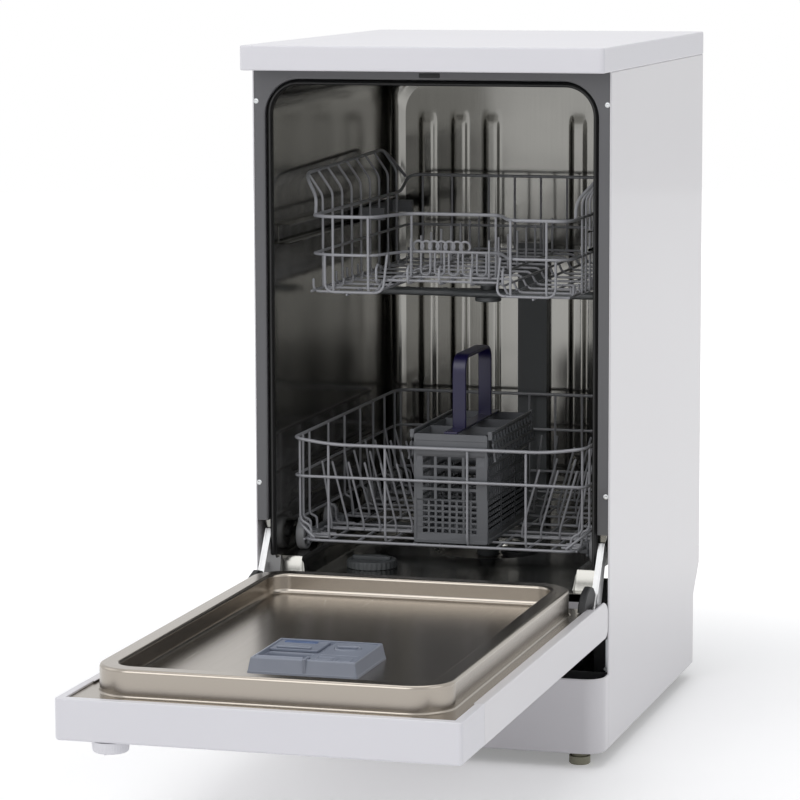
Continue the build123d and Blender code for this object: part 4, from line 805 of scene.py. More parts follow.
def knob():
    """A spun profile whose skirt is rippled by a cosine round the axis, and a bar on its face."""
    profile = [(0.0, 0.6), (14.0, 0.6), (20.3, 0.6), (20.5, 1.4), (20.2, 4.0), (19.6, 9.8), (19.0, 11.8),
               (17.6, 12.8), (15.5, 13.0), (14.4, 12.4), (0.0, 12.2)]
    points, faces = turned(profile, steps=knob_flutes * 6)
    angle = np.arctan2(points[:, 1], points[:, 0])
    skirt = smooth(points[:, 2], 3.0, 4.5) * (1 - smooth(points[:, 2], 10.5, 12.5))
    points[:, :2] *= (1 - flute_depth * skirt * (1 + np.cos(angle * knob_flutes)))[:, None]
    bar = stacked(drawn_in(pointer, rounding(pointer_low, pointer_high, 0.5, steps=3)), steps=5)
    return joined([(points, faces), bar])


piece("programme_knob_cap", laid(knob(), (knob_x, controls_y, door_outer), "-z"), white_abs,
      "programme_knob", ["programme_knob"])
dome = [(0.0, -9.0), (button_radius, -9.0), (button_radius, 2.2), (7.8, 2.65), (7.2, 2.95), (5.0, 2.75),
        (0.0, 2.45)]
piece("power_button_cap", laid(turned(dome, 40), (button_x, controls_y, door_outer), "-z"), white_abs,
      "power_button", ["power_button"])
# Painted shade: a black ring about half a millimetre wide round the button, where its gap would be.
gap_shade_ring = [(gap_inner, -0.5), (gap_inner, 0.02), (gap_outer, 0.02), (gap_outer, -0.5)]
piece("button_gap_shade", laid(turned(gap_shade_ring, 40), (button_x, controls_y, door_outer), "-z"), moulded_black,
      "door")

# Door skin
# One white enamelled sheet: the outer face, two sides, and a narrow fold over the liner's flange. Its
# end is rounded off where it swings past the side panels.
skin_sheet = 1.2
skin_front, skin_back = -591.8, -6.0
skin_fold, skin_bend, fold_end = 11.0, 1.3, -68.0
side_fold = 1.9
heel_radius = 10.0
hinge_y, hinge_z = -26.5, 176.5
swing_radius = 25.9
skin_corner = 2.4
rear_wall_half = 198.0


def door_skin():
    """Sections across X from front to back: the fold, a rounded corner, the side and the outer face.
    The side's upper edge follows a circle round the hinge, its lower edge the heel's quarter circle."""
    y = np.concatenate([[skin_front, -400.0, -200.0, fold_end, fold_end + 0.5], np.linspace(-60, -30, 4),
                        np.linspace(hinge_y, skin_back, 26)])[:, None]
    half = skin_sheet / 2
    top = hinge_z + np.sqrt(np.maximum(swing_radius ** 2 - np.maximum(y - hinge_y, 0) ** 2, 1))
    top = np.minimum(door_inner, top) - half
    heel = np.maximum(y - (skin_back - heel_radius), 0)
    low = door_outer + half + heel_radius - np.sqrt(np.maximum(heel_radius ** 2 - heel ** 2, 0))
    fold = np.where(y <= fold_end, skin_fold, side_fold)
    turn = np.linspace(0, np.pi / 2, 5)
    side = door_half - half
    x = np.concatenate([side - fold, side - skin_bend + skin_bend * np.sin(turn) + 0 * y,
                        side - skin_corner * (1 - np.cos(turn)) + 0 * y, 0 * y], 1)
    z = np.concatenate([top, top - skin_bend * (1 - np.cos(turn)),
                        low + skin_corner * (1 - np.sin(turn)), low], 1)
    x = np.concatenate([x, -x[:, -2::-1]], 1)
    z = np.concatenate([z, z[:, -2::-1]], 1)
    points = np.stack([x, y + 0 * x, z], -1)
    return points.reshape(-1, 3), quads(*x.shape)


piece("door_skin", door_skin(), enamel, "door", ["door_outer_panel"], wall=skin_sheet)
rear_wall = drawn_in((-rear_wall_half, rear_wall_half, skin_back - 1.6, skin_back - 0.4, 0.5),
                     [(0, door_outer + heel_radius), (0, door_inner - 4)])
piece("door_rear_wall", stacked(rear_wall, steps=3), enamel, "door")

# Door liner
# Deep-drawn stainless with a soft brushed sheen: a flange, a raised rim with rounded edges all the way
# round, and a shallow pan inside it that mirrors the dark tub.
liner = (-197.0, 197.0, -653.0, -58.0, 45.0)
flange_outline = (-220.4, 220.4, -679.4, -54.2, 3.0)
flange_top, rim_top, pan_top = 199.5, 230.0, 206.0
rim_width, rim_edge, pan_edge, foot_edge = 22.0, 4.0, 6.0, 2.5

turn = np.linspace(0, np.pi / 2, 7)
liner_steps = list(zip(foot_edge * (np.sin(turn) - 1), flange_top + foot_edge * (1 - np.cos(turn))))
liner_steps += list(zip(rim_edge * (1 - np.cos(turn)), rim_top - rim_edge * (1 - np.sin(turn))))
liner_steps += list(zip(rim_width - rim_edge * (1 - np.sin(turn)), rim_top - rim_edge * (1 - np.cos(turn))))
liner_steps += list(zip(rim_width + pan_edge * (1 - np.cos(turn)), pan_top + pan_edge * (1 - np.sin(turn))))
liner_rows = [(*flange_outline, flange_top - 1.2), (*flange_outline, flange_top)]
liner_rows += drawn_in(liner, liner_steps)
liner_steel = steel("brushed_stainless_liner", "A59E95", 0.24, 420.0, 0.5, (1600.0, 5.0, 1600.0))
piece("liner_pressing", stacked(liner_rows, steps=14, ends=(False, True)), liner_steel, "door",
      ["door_liner"])

# Dispenser
# A blue-grey polypropylene block let into the liner. On the left the lid slides over the detergent
# cup, on the right sit the square latch and the rinse-aid cap.
dispenser = (-60.0, 66.0, -531.0, -417.0, 4.0)
dispenser_low, dispenser_top, well_floor = 206.1, 224.0, 219.2
cup = (-52.0, 0.0, -517.0, -473.0, 6.0)
cup_floor = 176.0
platform_top = 222.8
latch_platform, cap_platform = (9.5, 58.2, -523.0, -490.4, 2.0), (9.5, 58.2, -489.8, -425.0, 2.0)
latch_spot, latch_half, latch_depth = (46.0, -511.0), 8.0, 8.0
cap_spot, cap_radius, cap_depth = (32.0, -453.0), 15.0, 7.5
part_gap = 0.5
lid = (-54.6, 2.6, -470.0, -422.0, 2.5)
lid_low, lid_top, lid_face = 219.5, 222.4, 222.0
lid_grip, lid_window = (-46.0, -6.0, -468.4, -463.6, 1.6), (-47.0, -9.0, -436.0, -427.5, 1.5)
lid_ribs, rib_width = (-459.0, -455.5, -452.0), 1.4
tab_outline, post_outline = (13.0, 34.0, -519.0, -503.0, 1.5), (3.6, 7.6, -530.6, -512.0, 1.2)
roller_spot = (-52.0, -520.0, 221.4)
grip_outline = (-11.6, 11.6, -2.4, 2.4, 2.2)
cap_foot, latch_foot, latch_top = 215.5, 215.2, 223.0

grey_blue = finish("blue_grey_polypropylene", "7F8593", "8B919F", 0.36, 30.0, 0.7, 0.012, IOR=1.49)
deep_blue = finish("blue_polypropylene", "56698F", "62759C", 0.3, 30.0, 0.7, 0.01, IOR=1.49)
body_steps = [(0, dispenser_low), (0.2, dispenser_low + 2.5), (0.8, dispenser_low + 3.2),
              (3.6, dispenser_top - 1.8), (4.0, dispenser_top - 0.9), (4.6, dispenser_top - 0.3),
              (5.4, dispenser_top), (6.6, dispenser_top), (7.1, dispenser_top - 0.5), (7.4, well_floor)]
cup_steps = [(0, well_floor), (0.5, well_floor - 0.5), (1.0, well_floor - 3), (3.0, cup_floor + 5),
             (4.5, cup_floor + 1.5), (8.0, cup_floor)]


def platform(outline, hole, depth):
    """A low rounded plateau with a hole of its own outline in it."""
    rows = drawn_in(outline, [(0, well_floor), (0.2, platform_top - 1.0), (0.6, platform_top - 0.3),
                              (1.3, platform_top)])
    rows += drawn_in(hole, [(0, platform_top), (0.2, platform_top - 0.3), (0.3, platform_top - depth)])
    return stacked(rows, steps=10)


def square(spot, reach, corner):
    """The outline of a square with rounded corners round a spot."""
    x, y = spot
    return (x - reach, x + reach, y - reach, y + reach, corner)


def slab(outline, low, high, radius, turns=5, steps=5):
    """A block with that outline whose upper and lower edges are rounded."""
    return stacked(drawn_in(outline, rounding(low, high, radius, turns)), steps)


latch_hole = square(latch_spot, latch_half + part_gap, 1.8)
cap_hole = square(cap_spot, cap_radius + part_gap, cap_radius + part_gap - least_corner)
tab = drawn_in(tab_outline, [(0, platform_top - 0.2), (0.2, platform_top + 0.6), (0.7, platform_top + 0.9),
                             (1.8, platform_top + 0.9), (2.2, platform_top + 0.4),
                             (3.0, platform_top + 0.4)])
roller = [(0.0, 0.0), (2.9, 0.0), (3.6, 0.7), (3.6, 53.3), (2.9, 54.0), (0.0, 54.0)]
dispenser_parts = [stacked(drawn_in(dispenser, body_steps) + drawn_in(cup, cup_steps), steps=10),
                   platform(latch_platform, latch_hole, latch_depth),
                   platform(cap_platform, cap_hole, cap_depth), stacked(tab, steps=5),
                   laid(turned(roller, 20), roller_spot, "x"), slab(post_outline, 207.0, 225.2, 1.0)]
piece("dispenser_moulding", joined(dispenser_parts), grey_blue, "door",
      ["dispenser_body"])

lid_parts = [slab(lid, lid_low, lid_top, 0.7, steps=6), slab(lid_grip, lid_face, 225.3, 1.4, steps=6)]
for rib_y in lid_ribs:
    lid_parts.append(slab((-44.0, -8.0, rib_y, rib_y + rib_width, 0.6), lid_face, 223.1, 0.5, 3, 4))
piece("sliding_lid", joined(lid_parts), grey_blue, "dispenser_lid", ["dispenser_lid"])
piece("lid_window", slab(lid_window, lid_face, 223.3, 0.5, 3), deep_blue, "dispenser_lid")
piece("latch_button", slab(square(latch_spot, latch_half, 1.4), latch_foot, latch_top, 0.9, steps=6),
      grey_blue, "dispenser_latch", ["dispenser_latch"])
cap = [(0.0, 0.0), (cap_radius, 0.0), (cap_radius, 6.8), (14.6, 7.6), (13.6, 8.0), (12.4, 7.2),
       (0.0, 7.2)]
grip = slab(grip_outline, 6.8, 10.4, 1.4, steps=6)
piece("rinse_aid_cap", laid(joined([turned(cap, 48), grip]), (*cap_spot, cap_foot), "z"), grey_blue,
      "rinse_cap", ["rinse_cap"])

# Hinge arms
# Zinc-plated steel levers folded from plate, each with a black moulded cover at the door's foot.
arm_inner, arm_outer = 213.0, 215.5
arm_outline = [(-150.0, 167.5), (-26.5, 164.5), (-14.5, 176.5), (22.0, 262.0), (12.0, 268.0),
               (-40.5, 188.5), (-150.0, 185.5)]
arm_fold = 5.5
arm_fold_outline = [(-40.5, 188.5), (12.0, 268.0), (13.0, 267.4), (-39.5, 187.9)]
cover_inner, cover_outer, cover_edge = 203.8, 212.4, 1.4
cover_outline = [(-84.0, 200.2), (-80.0, 210.0), (-66.0, 221.0), (-48.0, 226.0), (-33.0, 222.0),
                 (-22.0, 212.0), (-17.0, 200.2)]
eye_profile = [(4.1, -2.0), (8.5, -2.0), (9.0, -1.4), (9.0, 0.2), (4.1, 0.2)]


def cut_plate(outline, low, high, edge=0.5):
    """A plate of that outline in Y and Z between two places on X, its edges broken."""
    spots = np.array(outline, float)
    centre = spots.mean(0)
    toward = centre - spots
    toward /= np.linalg.norm(toward, axis=1)[:, None]
    rows = [(low, edge), (low + edge, 0.0), (high - edge, 0.0), (high, edge)]
    points = np.vstack([np.column_stack([np.full(len(spots), x), spots + toward * inset])
                        for x, inset in rows])
    count = len(spots)
    faces = quads(4, count, around=True) + [list(range(count)), list(range(3 * count, 4 * count))]
    return points, faces


def hinge_arm():
    """The lever's plate, the fold along its front edge and the eye round the hinge pin."""
    eye = laid(turned(eye_profile, 28), (arm_inner, hinge_y, hinge_z), "x")
    return joined([cut_plate(arm_outline, arm_inner, arm_outer),
                   cut_plate(arm_fold_outline, arm_inner - arm_fold, arm_inner, 0.2), eye])


lever_steel = finish("zinc_plated_lever", "C9CACB", "DEDEDF", 0.34, 9.0, 0.5, 0.004, Metallic=0.9)
for side, name in ((1, "right"), (-1, "left")):
    points, faces = hinge_arm()
    piece(f"hinge_lever_{name}", (points * (side, 1, 1), faces), lever_steel, "door",
          ["hinge_arms"])
    points, faces = cut_plate(cover_outline, cover_inner, cover_outer, cover_edge)
    piece(f"hinge_cover_{name}", (points * (side, 1, 1), faces), moulded_black, "door")

# Lower basket
# Round steel wire, welded where it crosses and dipped in grey nylon, which leaves a soft satin skin
# and rounded ends. Long wires run down the front, along the floor and up the back, others across.
coated_wire = finish("grey_nylon_coated_wire", "94959A", "A2A3A8", 0.38, 24.0, 1.2, 0.02, IOR=1.53)
rim_wire, frame_wire, net_wire, prong_wire = 2.1, 1.8, 1.6, 1.5
lower_half, lower_floor_half = 186.0, 174.0
lower_front, lower_back = 37.0, 503.0
lower_floor, lower_shoulder = 251.0, 274.0
lower_middle_rim, lower_rim, lower_rail = 331.0, 378.8, 371.0
lower_corner, rim_lead, rim_ramp = 26.0, 30.0, 48.0
wire_step = 2.5
front_wires = (-142.0, -69.0, 36.0, 110.0)
floor_wires = (-174.0, -105.0, -33.0, 0.0, 73.0, 142.0, 174.0)
side_wires = (67.0, 93.0, 174.0, 245.0, 316.0, 376.0, 430.0, 479.0)
floor_rows = (68.0, 122.0, 150.0, 210.0, 270.0, 345.0, 403.0, 460.0)
back_wires = (-105.0, 0.0, 73.0)
wire_sag = 7.0
shoulder_half, shoulder_inset = 160.0, 9.0
side_foot, corner_inset, corner_foot_inset = 26.0, 6.0, 8.0


def softened(path, bend, closed=False, steps=6):
    """A path of straight lines with each corner replaced by a short curve that begins and ends within
    bend of it, and stays inside the corner's triangle."""
    path = np.array(path, float)
    corners = path if closed else path[1:-1]
    before = (np.roll(path, 1, 0) if closed else path[:-2]) - corners
    after = (np.roll(path, -1, 0) if closed else path[2:]) - corners
    reach = np.linalg.norm(before, axis=1), np.linalg.norm(after, axis=1)
    cut = np.minimum(bend, 0.48 * np.minimum(*reach))
    start = corners + before * (cut / reach[0])[:, None]
    end = corners + after * (cut / reach[1])[:, None]
    t = np.linspace(0, 1, steps)[None, :, None]
    curve = (1 - t) ** 2 * start[:, None] + 2 * t * (1 - t) * corners[:, None] + t ** 2 * end[:, None]
    curve = curve.reshape(-1, 3)
    return curve if closed else np.vstack([path[:1], curve, path[-1:]])


def swept(path, section, closed=False, dome=0.0):
    """A section carried along a path, turned only as far as the path turns. With a dome, its ends
    shrink to it over a quarter circle."""
    step = np.roll(path, -1, 0) - np.roll(path, 1, 0) if closed else np.gradient(path, axis=0)
    ahead = step / np.linalg.norm(step, axis=1)[:, None]
    side = [np.cross(ahead[0], np.eye(3)[np.argmin(abs(ahead[0]))])]
    for direction in ahead:
        across = side[-1] - direction * (side[-1] @ direction)
        side.append(across / np.linalg.norm(across))
    side = np.array(side[1:])
    size = np.ones(len(path))
    if dome:
        turn = np.radians([80.0, 52.0, 24.0, 0.0])
        shift = dome * (1 - np.sin(turn))[:, None]
        path = np.vstack([path[0] + ahead[0] * shift, path[1:-1], path[-1] - ahead[-1] * shift[::-1]])
        size = np.concatenate([np.cos(turn), size[2:], np.cos(turn[::-1])])
        side = np.vstack([side[[0] * 4], side[1:-1], side[[-1] * 4]])
        ahead = np.vstack([ahead[[0] * 4], ahead[1:-1], ahead[[-1] * 4]])
    up = np.cross(ahead, side)
    outline = np.array(section, float)
    across = side[:, None] * outline[None, :, :1] + up[:, None] * outline[None, :, 1:]
    points = path[:, None] + size[:, None, None] * across
    count, width = points.shape[:2]
    faces = quads(count, width, around=True, along=closed)
    if not closed:
        faces += [list(range(width)), list(range((count - 1) * width, count * width))]
    return points.reshape(-1, 3), faces


def circle(radius, steps=8):
    """The section of a round wire."""
    angle = np.linspace(0, 2 * np.pi, steps, endpoint=False)
    return np.column_stack([np.cos(angle), np.sin(angle)]) * radius


def rod(path, radius, bend=8.0, closed=False):
    """A round wire along a path with softened corners and domed ends."""
    return swept(softened(path, bend, closed), circle(radius), closed, 0.0 if closed else radius)


def hoop(half, front, back, height, sag=0.0):
    """Corners of a rim: across the front, where it sags, along both sides and across the back."""
    low, ramp = height - sag, half - rim_ramp
    return [(-half, front + rim_lead, height), (-half, front, height), (-ramp, front, low),
            (ramp, front, low), (half, front, height), (half, front + rim_lead, height),
            (half, back, height), (-half, back, height)]


def basket(name, rods, body, node):
    """One piece of coated wire for many rods, that stands for a node of the basket."""
    piece(name, joined(rods), coated_wire, body, [node])


floor_net = []
for x in floor_wires:
    floor_net.append(rod([(x, lower_front + 1, lower_floor), (x, lower_back - 1, lower_floor)], net_wire))
for y in floor_rows:
    floor_net.append(rod([(-lower_floor_half, y, lower_floor + 2),
                          (lower_floor_half, y, lower_floor + 2)], net_wire))
frame_path = [(-lower_floor_half, lower_front, lower_floor), (lower_floor_half, lower_front, lower_floor),
              (lower_floor_half, lower_back, lower_floor), (-lower_floor_half, lower_back, lower_floor)]
floor_net.append(rod(frame_path, frame_wire, 20.0, closed=True))
basket("lower_floor_wires", floor_net, "lower_basket", "lower_basket_floor")

rim = hoop(lower_half, lower_front, lower_back, lower_rim, wire_sag)
middle_rim = hoop(lower_half, lower_front, lower_back, lower_middle_rim)
right_shoulder = np.array([(lower_half, lower_back, lower_shoulder),
                           (lower_half, lower_front + shoulder_inset, lower_shoulder),
                           (shoulder_half, lower_front + 2, lower_floor + 2)])
shoulder = np.vstack([right_shoulder[::-1] * (-1, 1, 1), right_shoulder])
walls = [rod(rim, rim_wire, lower_corner, closed=True),
         rod(middle_rim, frame_wire, lower_corner, closed=True), rod(shoulder, frame_wire, 18.0)]
front, back = lower_front + wire_step, lower_back - wire_step
for x in front_wires:
    walls.append(rod([(x, front, lower_rail), (x, front, lower_floor - 1), (x, back, lower_floor - 1),
                      (x, back, lower_rim)], net_wire, 14.0))
for y in side_wires:
    step_in = [(lower_half - wire_step, y, lower_rim), (lower_half - wire_step, y, lower_shoulder),
               (lower_floor_half, y, lower_shoulder - 3), (lower_floor_half, y, lower_floor - 1),
               (lower_floor_half - side_foot, y, lower_floor - 1)]
    for side in (1, -1):
        walls.append(rod(np.array(step_in) * (side, 1, 1), net_wire, 9.0))
for side in (1, -1):
    for y in (lower_front + corner_inset, lower_back - corner_inset):
        corner, foot = side * (lower_half - corner_inset), side * (lower_floor_half - corner_foot_inset)
        walls.append(rod([(corner, y, lower_rim), (corner, y, lower_shoulder),
                          (foot, y, lower_shoulder - corner_inset), (foot, y, lower_floor)], net_wire, 8.0))
for x in back_wires:
    walls.append(rod([(x, back, lower_rim), (x, back, lower_floor)], net_wire))
basket("lower_wall_wires", walls, "lower_basket", "lower_basket_walls")

# Prongs of the lower basket
# Each row is one floor wire with thinner prongs welded to it. They lean outward on both sides. Each
# group has its two ends on X, the prongs in a row, how far they lean and its rows' places on Y.
prong_rows = (110.0, 205.0, 300.0, 395.0)
prong_foot, prong_bend, prong_top, prong_limit = 253.2, 263.2, 339.5, 172.0
prong_groups = ((-162.0, -52.0, 6, -20.0, prong_rows), (86.0, 162.0, 4, 22.0, prong_rows),
                (-28.0, 58.0, 5, 8.0, prong_rows[2:]))
prongs = []
for left, right, count, lean, rows in prong_groups:
    for y in rows:
        prongs.append(rod([(left, y + 2, prong_foot), (right, y + 2, prong_foot)], net_wire))
        for x in np.linspace(left + 2, right - 2, count):
            top = min(max(x + lean, -prong_limit), prong_limit)
            prongs.append(rod([(x, y, prong_foot - 1), (x, y, prong_bend), (top, y, prong_top)],
                              prong_wire, 12.0))
basket("prong_wires", prongs, "lower_basket", "lower_basket_tines")

# Wheels
# Pale grey polyacetal, a rounded tread, a raised ring and a hollow face round the hub. A moulded
# grey clip snaps over the basket's edge wire and carries two of them on stub axles.
wheel_inner, wheel_height = 183.0, 250.0
wheel_ys = (85.0, 200.0, 393.0, 487.0)
wheel_profile = [(4.2, 0.0), (9.0, 0.0), (9.4, 0.5), (9.6, 2.6), (15.2, 2.6), (15.6, 0.6), (16.4, 0.0),
                 (18.4, 0.2), (19.3, 1.0), (19.7, 2.4), (19.7, 8.6), (19.3, 10.0), (18.4, 10.8),
                 (16.2, 11.0), (15.4, 10.5), (15.0, 8.2), (9.4, 8.0), (9.0, 10.3), (8.4, 11.0),
                 (4.6, 11.0), (4.2, 10.4)]
spoke_count, spoke_reach, spoke_levels, spoke_half = 6, (8.6, 15.8), (7.0, 9.6), 0.8
clip_margin = 14.0
clip_inner, clip_outer, clip_low, clip_high = 169.2, 182.0, 243.4, 249.0
web_inner, web_outer, web_low, web_high = 177.2, 181.8, 239.4, 256.6
hook_inner, hook_outer, hook_low, hook_high, hook_half = 168.6, 179.5, 246.0, 256.0, 8.0
axle_start = 177.0
wheel_plastic = finish("grey_polyacetal", "96979A", "A4A5A8", 0.34, 18.0, 0.8, 0.012, IOR=1.48)
grey_plastic = finish("grey_polypropylene", "707276", "7C7E82", 0.42, 26.0, 0.8, 0.014, IOR=1.49)


def spun_ring(profile, steps):
    """A closed profile of radius and height spun round, with a hole through it."""
    radius, height = np.array(profile, float).T[:, :, None]
    angle = np.linspace(0, 2 * np.pi, steps, endpoint=False)
    points = np.stack([radius * np.cos(angle), radius * np.sin(angle), height + 0 * angle], -1)
    return points.reshape(-1, 3), quads(len(profile), steps, around=True, along=True)


def pair(profile, inner, y, z, spokes=0):
    """The same wheel on the right and, mirrored, on the left, with spokes across its hollow face."""
    parts = [spun_ring(profile, 48)]
    for index in range(spokes):
        angle = 2 * np.pi * index / spokes
        spoke, faces = stacked([(*spoke_reach, -spoke_half, spoke_half, 0.3, height)
                                for height in spoke_levels], steps=3)
        turned_x = spoke[:, 0] * np.cos(angle) - spoke[:, 1] * np.sin(angle)
        turned_y = spoke[:, 0] * np.sin(angle) + spoke[:, 1] * np.cos(angle)
        parts.append((np.column_stack([turned_x, turned_y, spoke[:, 2]]), faces))
    right = laid(joined(parts), (inner, y, z), "x")
    return joined([right, (right[0] * (-1, 1, 1), right[1])])


for number, y in enumerate(wheel_ys, 1):
    shape = pair(wheel_profile, wheel_inner, y, wheel_height, spoke_count)
    piece(f"basket_wheels_{number}", shape, wheel_plastic, f"lower_wheels_{number}",
          [f"lower_wheels_{number}"])

axle = [(0.0, 0.0), (8.0, 0.0), (8.0, 5.0), (4.0, 5.2), (4.0, 19.6), (5.4, 19.8), (5.5, 20.6), (4.4, 21.2),
        (0.0, 21.2)]
clips = []
for front, rear in (wheel_ys[:2], wheel_ys[2:]):
    low, high = front - clip_margin, rear + clip_margin
    clips.append(slab((clip_inner, clip_outer, low, high, 4.0), clip_low, clip_high, 1.2, steps=6))
    clips.append(slab((web_inner, web_outer, low + 2, high - 2, 2.0), web_low, web_high, 1.0))
    for y in (front, rear):
        clips.append(laid(turned(axle, 28), (axle_start, y, wheel_height), "x"))
        clips.append(slab((hook_inner, hook_outer, y - hook_half, y + hook_half, 2.5), hook_low, hook_high,
                          1.6))
points, faces = joined(clips)
piece("wheel_clips", joined([(points, faces), (points * (-1, 1, 1), faces)]), grey_plastic,
      "lower_basket", ["lower_wheel_carriers"])

# Cutlery basket
# Dark grey polypropylene with square windows on top, a fine mesh below and a solid foot, in three
# cells. Its strap handle is a soft dark violet, its two pierced lids hang open beside it.
cutlery_left, cutlery_right = -33.0, 61.0
cutlery_front, cutlery_rear = 43.0, 253.0
cutlery_low, cutlery_high = 253.3, 389.3
cutlery_sheet = 2.2
foot_height, large_low = 13.0, 55.0
closed_strip = (0.0, 0, 1.0, 1.0)
post_inset, post_half = 1.9, 2.2
rim_proud, rim_height, rim_fold, foot_rim = 0.5, 9.0, 3.2, 5.0
lug_reach, lug_width, lug_high = 5.4, 4.5, 4.6
dark_grey = finish("dark_grey_polypropylene", "5E6064", "696B6F", 0.4, 30.0, 0.8, 0.014, IOR=1.49)
violet = finish("violet_polypropylene", "0F0B31", "15103E", 0.32, 30.0, 0.8, 0.012, IOR=1.49)


def lattice(length, rows):
    """A flat plate as strips one above another, from rows of low edge, high edge and the windows in
    that strip: the start of the first, how many, their pitch and their width."""
    points, faces, count = [], [], 0
    for low, high, (start, number, pitch, opening) in rows:
        left = start + pitch * np.arange(number)
        edges = np.concatenate([[0.0], np.column_stack([left, left + opening]).ravel(), [length]])
        points.append(np.column_stack([np.repeat(edges, 2), np.tile([low, high], len(edges))]))
        faces += [[count + 2 * i, count + 2 * i + 2, count + 2 * i + 3, count + 2 * i + 1]
                  for i in range(0, len(edges) - 1, 2)]
        count += 2 * len(edges)
    return np.vstack(points), faces


def windows(low, number, pitch, opening, span):
    """Strips for lattice: a bar over each row of windows, from the bottom up."""
    rows = []
    for index in range(number):
        base = low + index * pitch
        rows += [(base, base + opening, span), (base + opening, base + pitch, closed_strip)]
    return rows


def standing(flat, spot, along):
    """Stands a flat plate up from a spot: its length runs along X or Y, its height along Z."""
    points, faces = flat
    nothing = 0 * points[:, :1]
    ahead = (points[:, :1], nothing) if along == "x" else (nothing, points[:, :1])
    return np.hstack([*ahead, points[:, 1:]]) + spot, faces


def basket_wall(length, large, fine):
    """One wall: a solid foot, rows of fine windows, rows of large ones and a solid rim."""
    rows = [(0.0, foot_height, closed_strip)]
    rows += windows(foot_height, *fine) + windows(large_low, *large)
    rows.append((rows[-1][1], cutlery_high - cutlery_low, closed_strip))
    return lattice(length, rows)


half_sheet = cutlery_sheet / 2
face_length, side_length = cutlery_right - cutlery_left, cutlery_rear - cutlery_front
large_rows, fine_rows = (4, 14.0, 10.8), (6, 7.0, 4.6)
side_span = (8.0, 21, 9.4, 6.2)
front_face = basket_wall(face_length, (*large_rows, (11.5, 4, 17.8, 14.4)),
                         (*fine_rows, (11.5, 8, 8.9, 6.2)))
side_face = basket_wall(side_length, (*large_rows, side_span), (*fine_rows, side_span))
box_parts = [standing(front_face, (cutlery_left, y, cutlery_low), "x")
             for y in (cutlery_front + half_sheet, cutlery_rear - half_sheet)]
box_parts += [standing(side_face, (x, cutlery_front, cutlery_low), "y")
              for x in (cutlery_left + half_sheet, cutlery_right - half_sheet)]
box_parts += [standing(front_face, (cutlery_left, cutlery_front + side_length * share, cutlery_low), "x")
              for share in (1 / 3, 2 / 3)]
base = [(cutlery_left, cutlery_front), (cutlery_right, cutlery_front), (cutlery_right, cutlery_rear),
        (cutlery_left, cutlery_rear)]
box_parts.append((np.array([(x, y, cutlery_low + half_sheet) for x, y in base]), [[0, 1, 2, 3]]))
piece("cutlery_box_walls", joined(box_parts), dark_grey, "lower_basket",
      ["cutlery_basket"], wall=cutlery_sheet, crease=0.0)
rim_outer = (cutlery_left - rim_proud, cutlery_right + rim_proud, cutlery_front - rim_proud,
             cutlery_rear + rim_proud, 3.0)
rim_parts = []
for low, high, reach in ((cutlery_low - 0.3, cutlery_low + foot_rim, 0.25),
                         (cutlery_high - rim_height, cutlery_high, 0.0)):
    rows = drawn_in(rim_outer, [(rim_fold, low), (rim_fold, high - 0.6), (rim_fold - 0.6, high),
                                (reach + 0.8, high), (reach, high - 0.8), (reach, low + 0.8),
                                (reach + 0.8, low), (rim_fold, low)])
    rim_parts.append(stacked(rows, steps=5, ends=(False, False)))
for x in (cutlery_left + post_inset, cutlery_right - post_inset):
    for y in (cutlery_front + post_inset, cutlery_rear - post_inset):
        post = drawn_in(square((x, y), post_half, 1.6), [(0, cutlery_low + 1), (0, cutlery_high - 1)])
        rim_parts.append(stacked(post, steps=4))
for side, wall_x in ((1, cutlery_right), (-1, cutlery_left)):
    ends = sorted((wall_x - side * rim_proud, wall_x + side * lug_reach))
    for y in (cutlery_front + 1, cutlery_rear - 1 - lug_width):
        rim_parts.append(slab((*ends, y, y + lug_width, 1.2), cutlery_high - 6, cutlery_high + lug_high,
                              0.8))
piece("cutlery_box_rims", joined(rim_parts), dark_grey, "lower_basket")

handle_left, handle_right = 5.5, 22.5
handle_front, handle_rear, handle_top = 83.0, 213.0, 482.3
handle_strap, strap_edge, bridge_height = 5.0, 1.6, 3.0


def flat_bar(half_thickness, half_width, edge):
    """The section of a strap with rounded edges, its thickness along the path's first side."""
    turn = np.linspace(0, 2 * np.pi, 24, endpoint=False)
    reach_x = (half_thickness - edge) * np.sign(np.cos(turn))
    reach_y = (half_width - edge) * np.sign(np.sin(turn))
    return np.column_stack([reach_x + edge * np.cos(turn), reach_y + edge * np.sin(turn)])


middle_x = (handle_left + handle_right) / 2
half_strap = handle_strap / 2
front, rear, top = handle_front + half_strap, handle_rear - half_strap, handle_top - half_strap
arch_path = [(middle_x, front, cutlery_high), (middle_x, front, top), (middle_x, rear, top),
             (middle_x, rear, cutlery_high)]
strap = swept(softened(arch_path, 20.0, steps=10),
              flat_bar(half_strap, (handle_right - handle_left) / 2, strap_edge))
bridge = slab((handle_left, handle_right, cutlery_front, cutlery_rear, 1.0), cutlery_high,
              cutlery_high + bridge_height, 0.8, steps=4)
piece("strap_handle", joined([strap, bridge]), violet, "lower_basket", ["cutlery_handle"])

flap_front, flap_rear, flap_width, flap_tilt = 49.0, 247.0, 36.0, 8.0
flap_edge, flap_sheet, pin_radius, pin_reach = 2.5, 2.6, 1.5, 4.0
flap_hinge_z, flap_hinge_gap = cutlery_high + 2.2, 3.0


def lid_flap(side):
    """A grid of square windows hanging from a round pin, tilted outward."""
    length = flap_rear - flap_front
    low = flap_edge - flap_width
    net = lattice(length, [(-flap_width, low, closed_strip)]
                  + windows(low, 3, 11.0, 8.4, (flap_edge, 13, 14.9, 12.0)))
    sheet, faces = standing(net, (0.0, flap_front, 0.0), "y")
    angle = np.radians(flap_tilt) * side
    return np.column_stack([-sheet[:, 2] * np.sin(angle), sheet[:, 1], sheet[:, 2] * np.cos(angle)]), faces


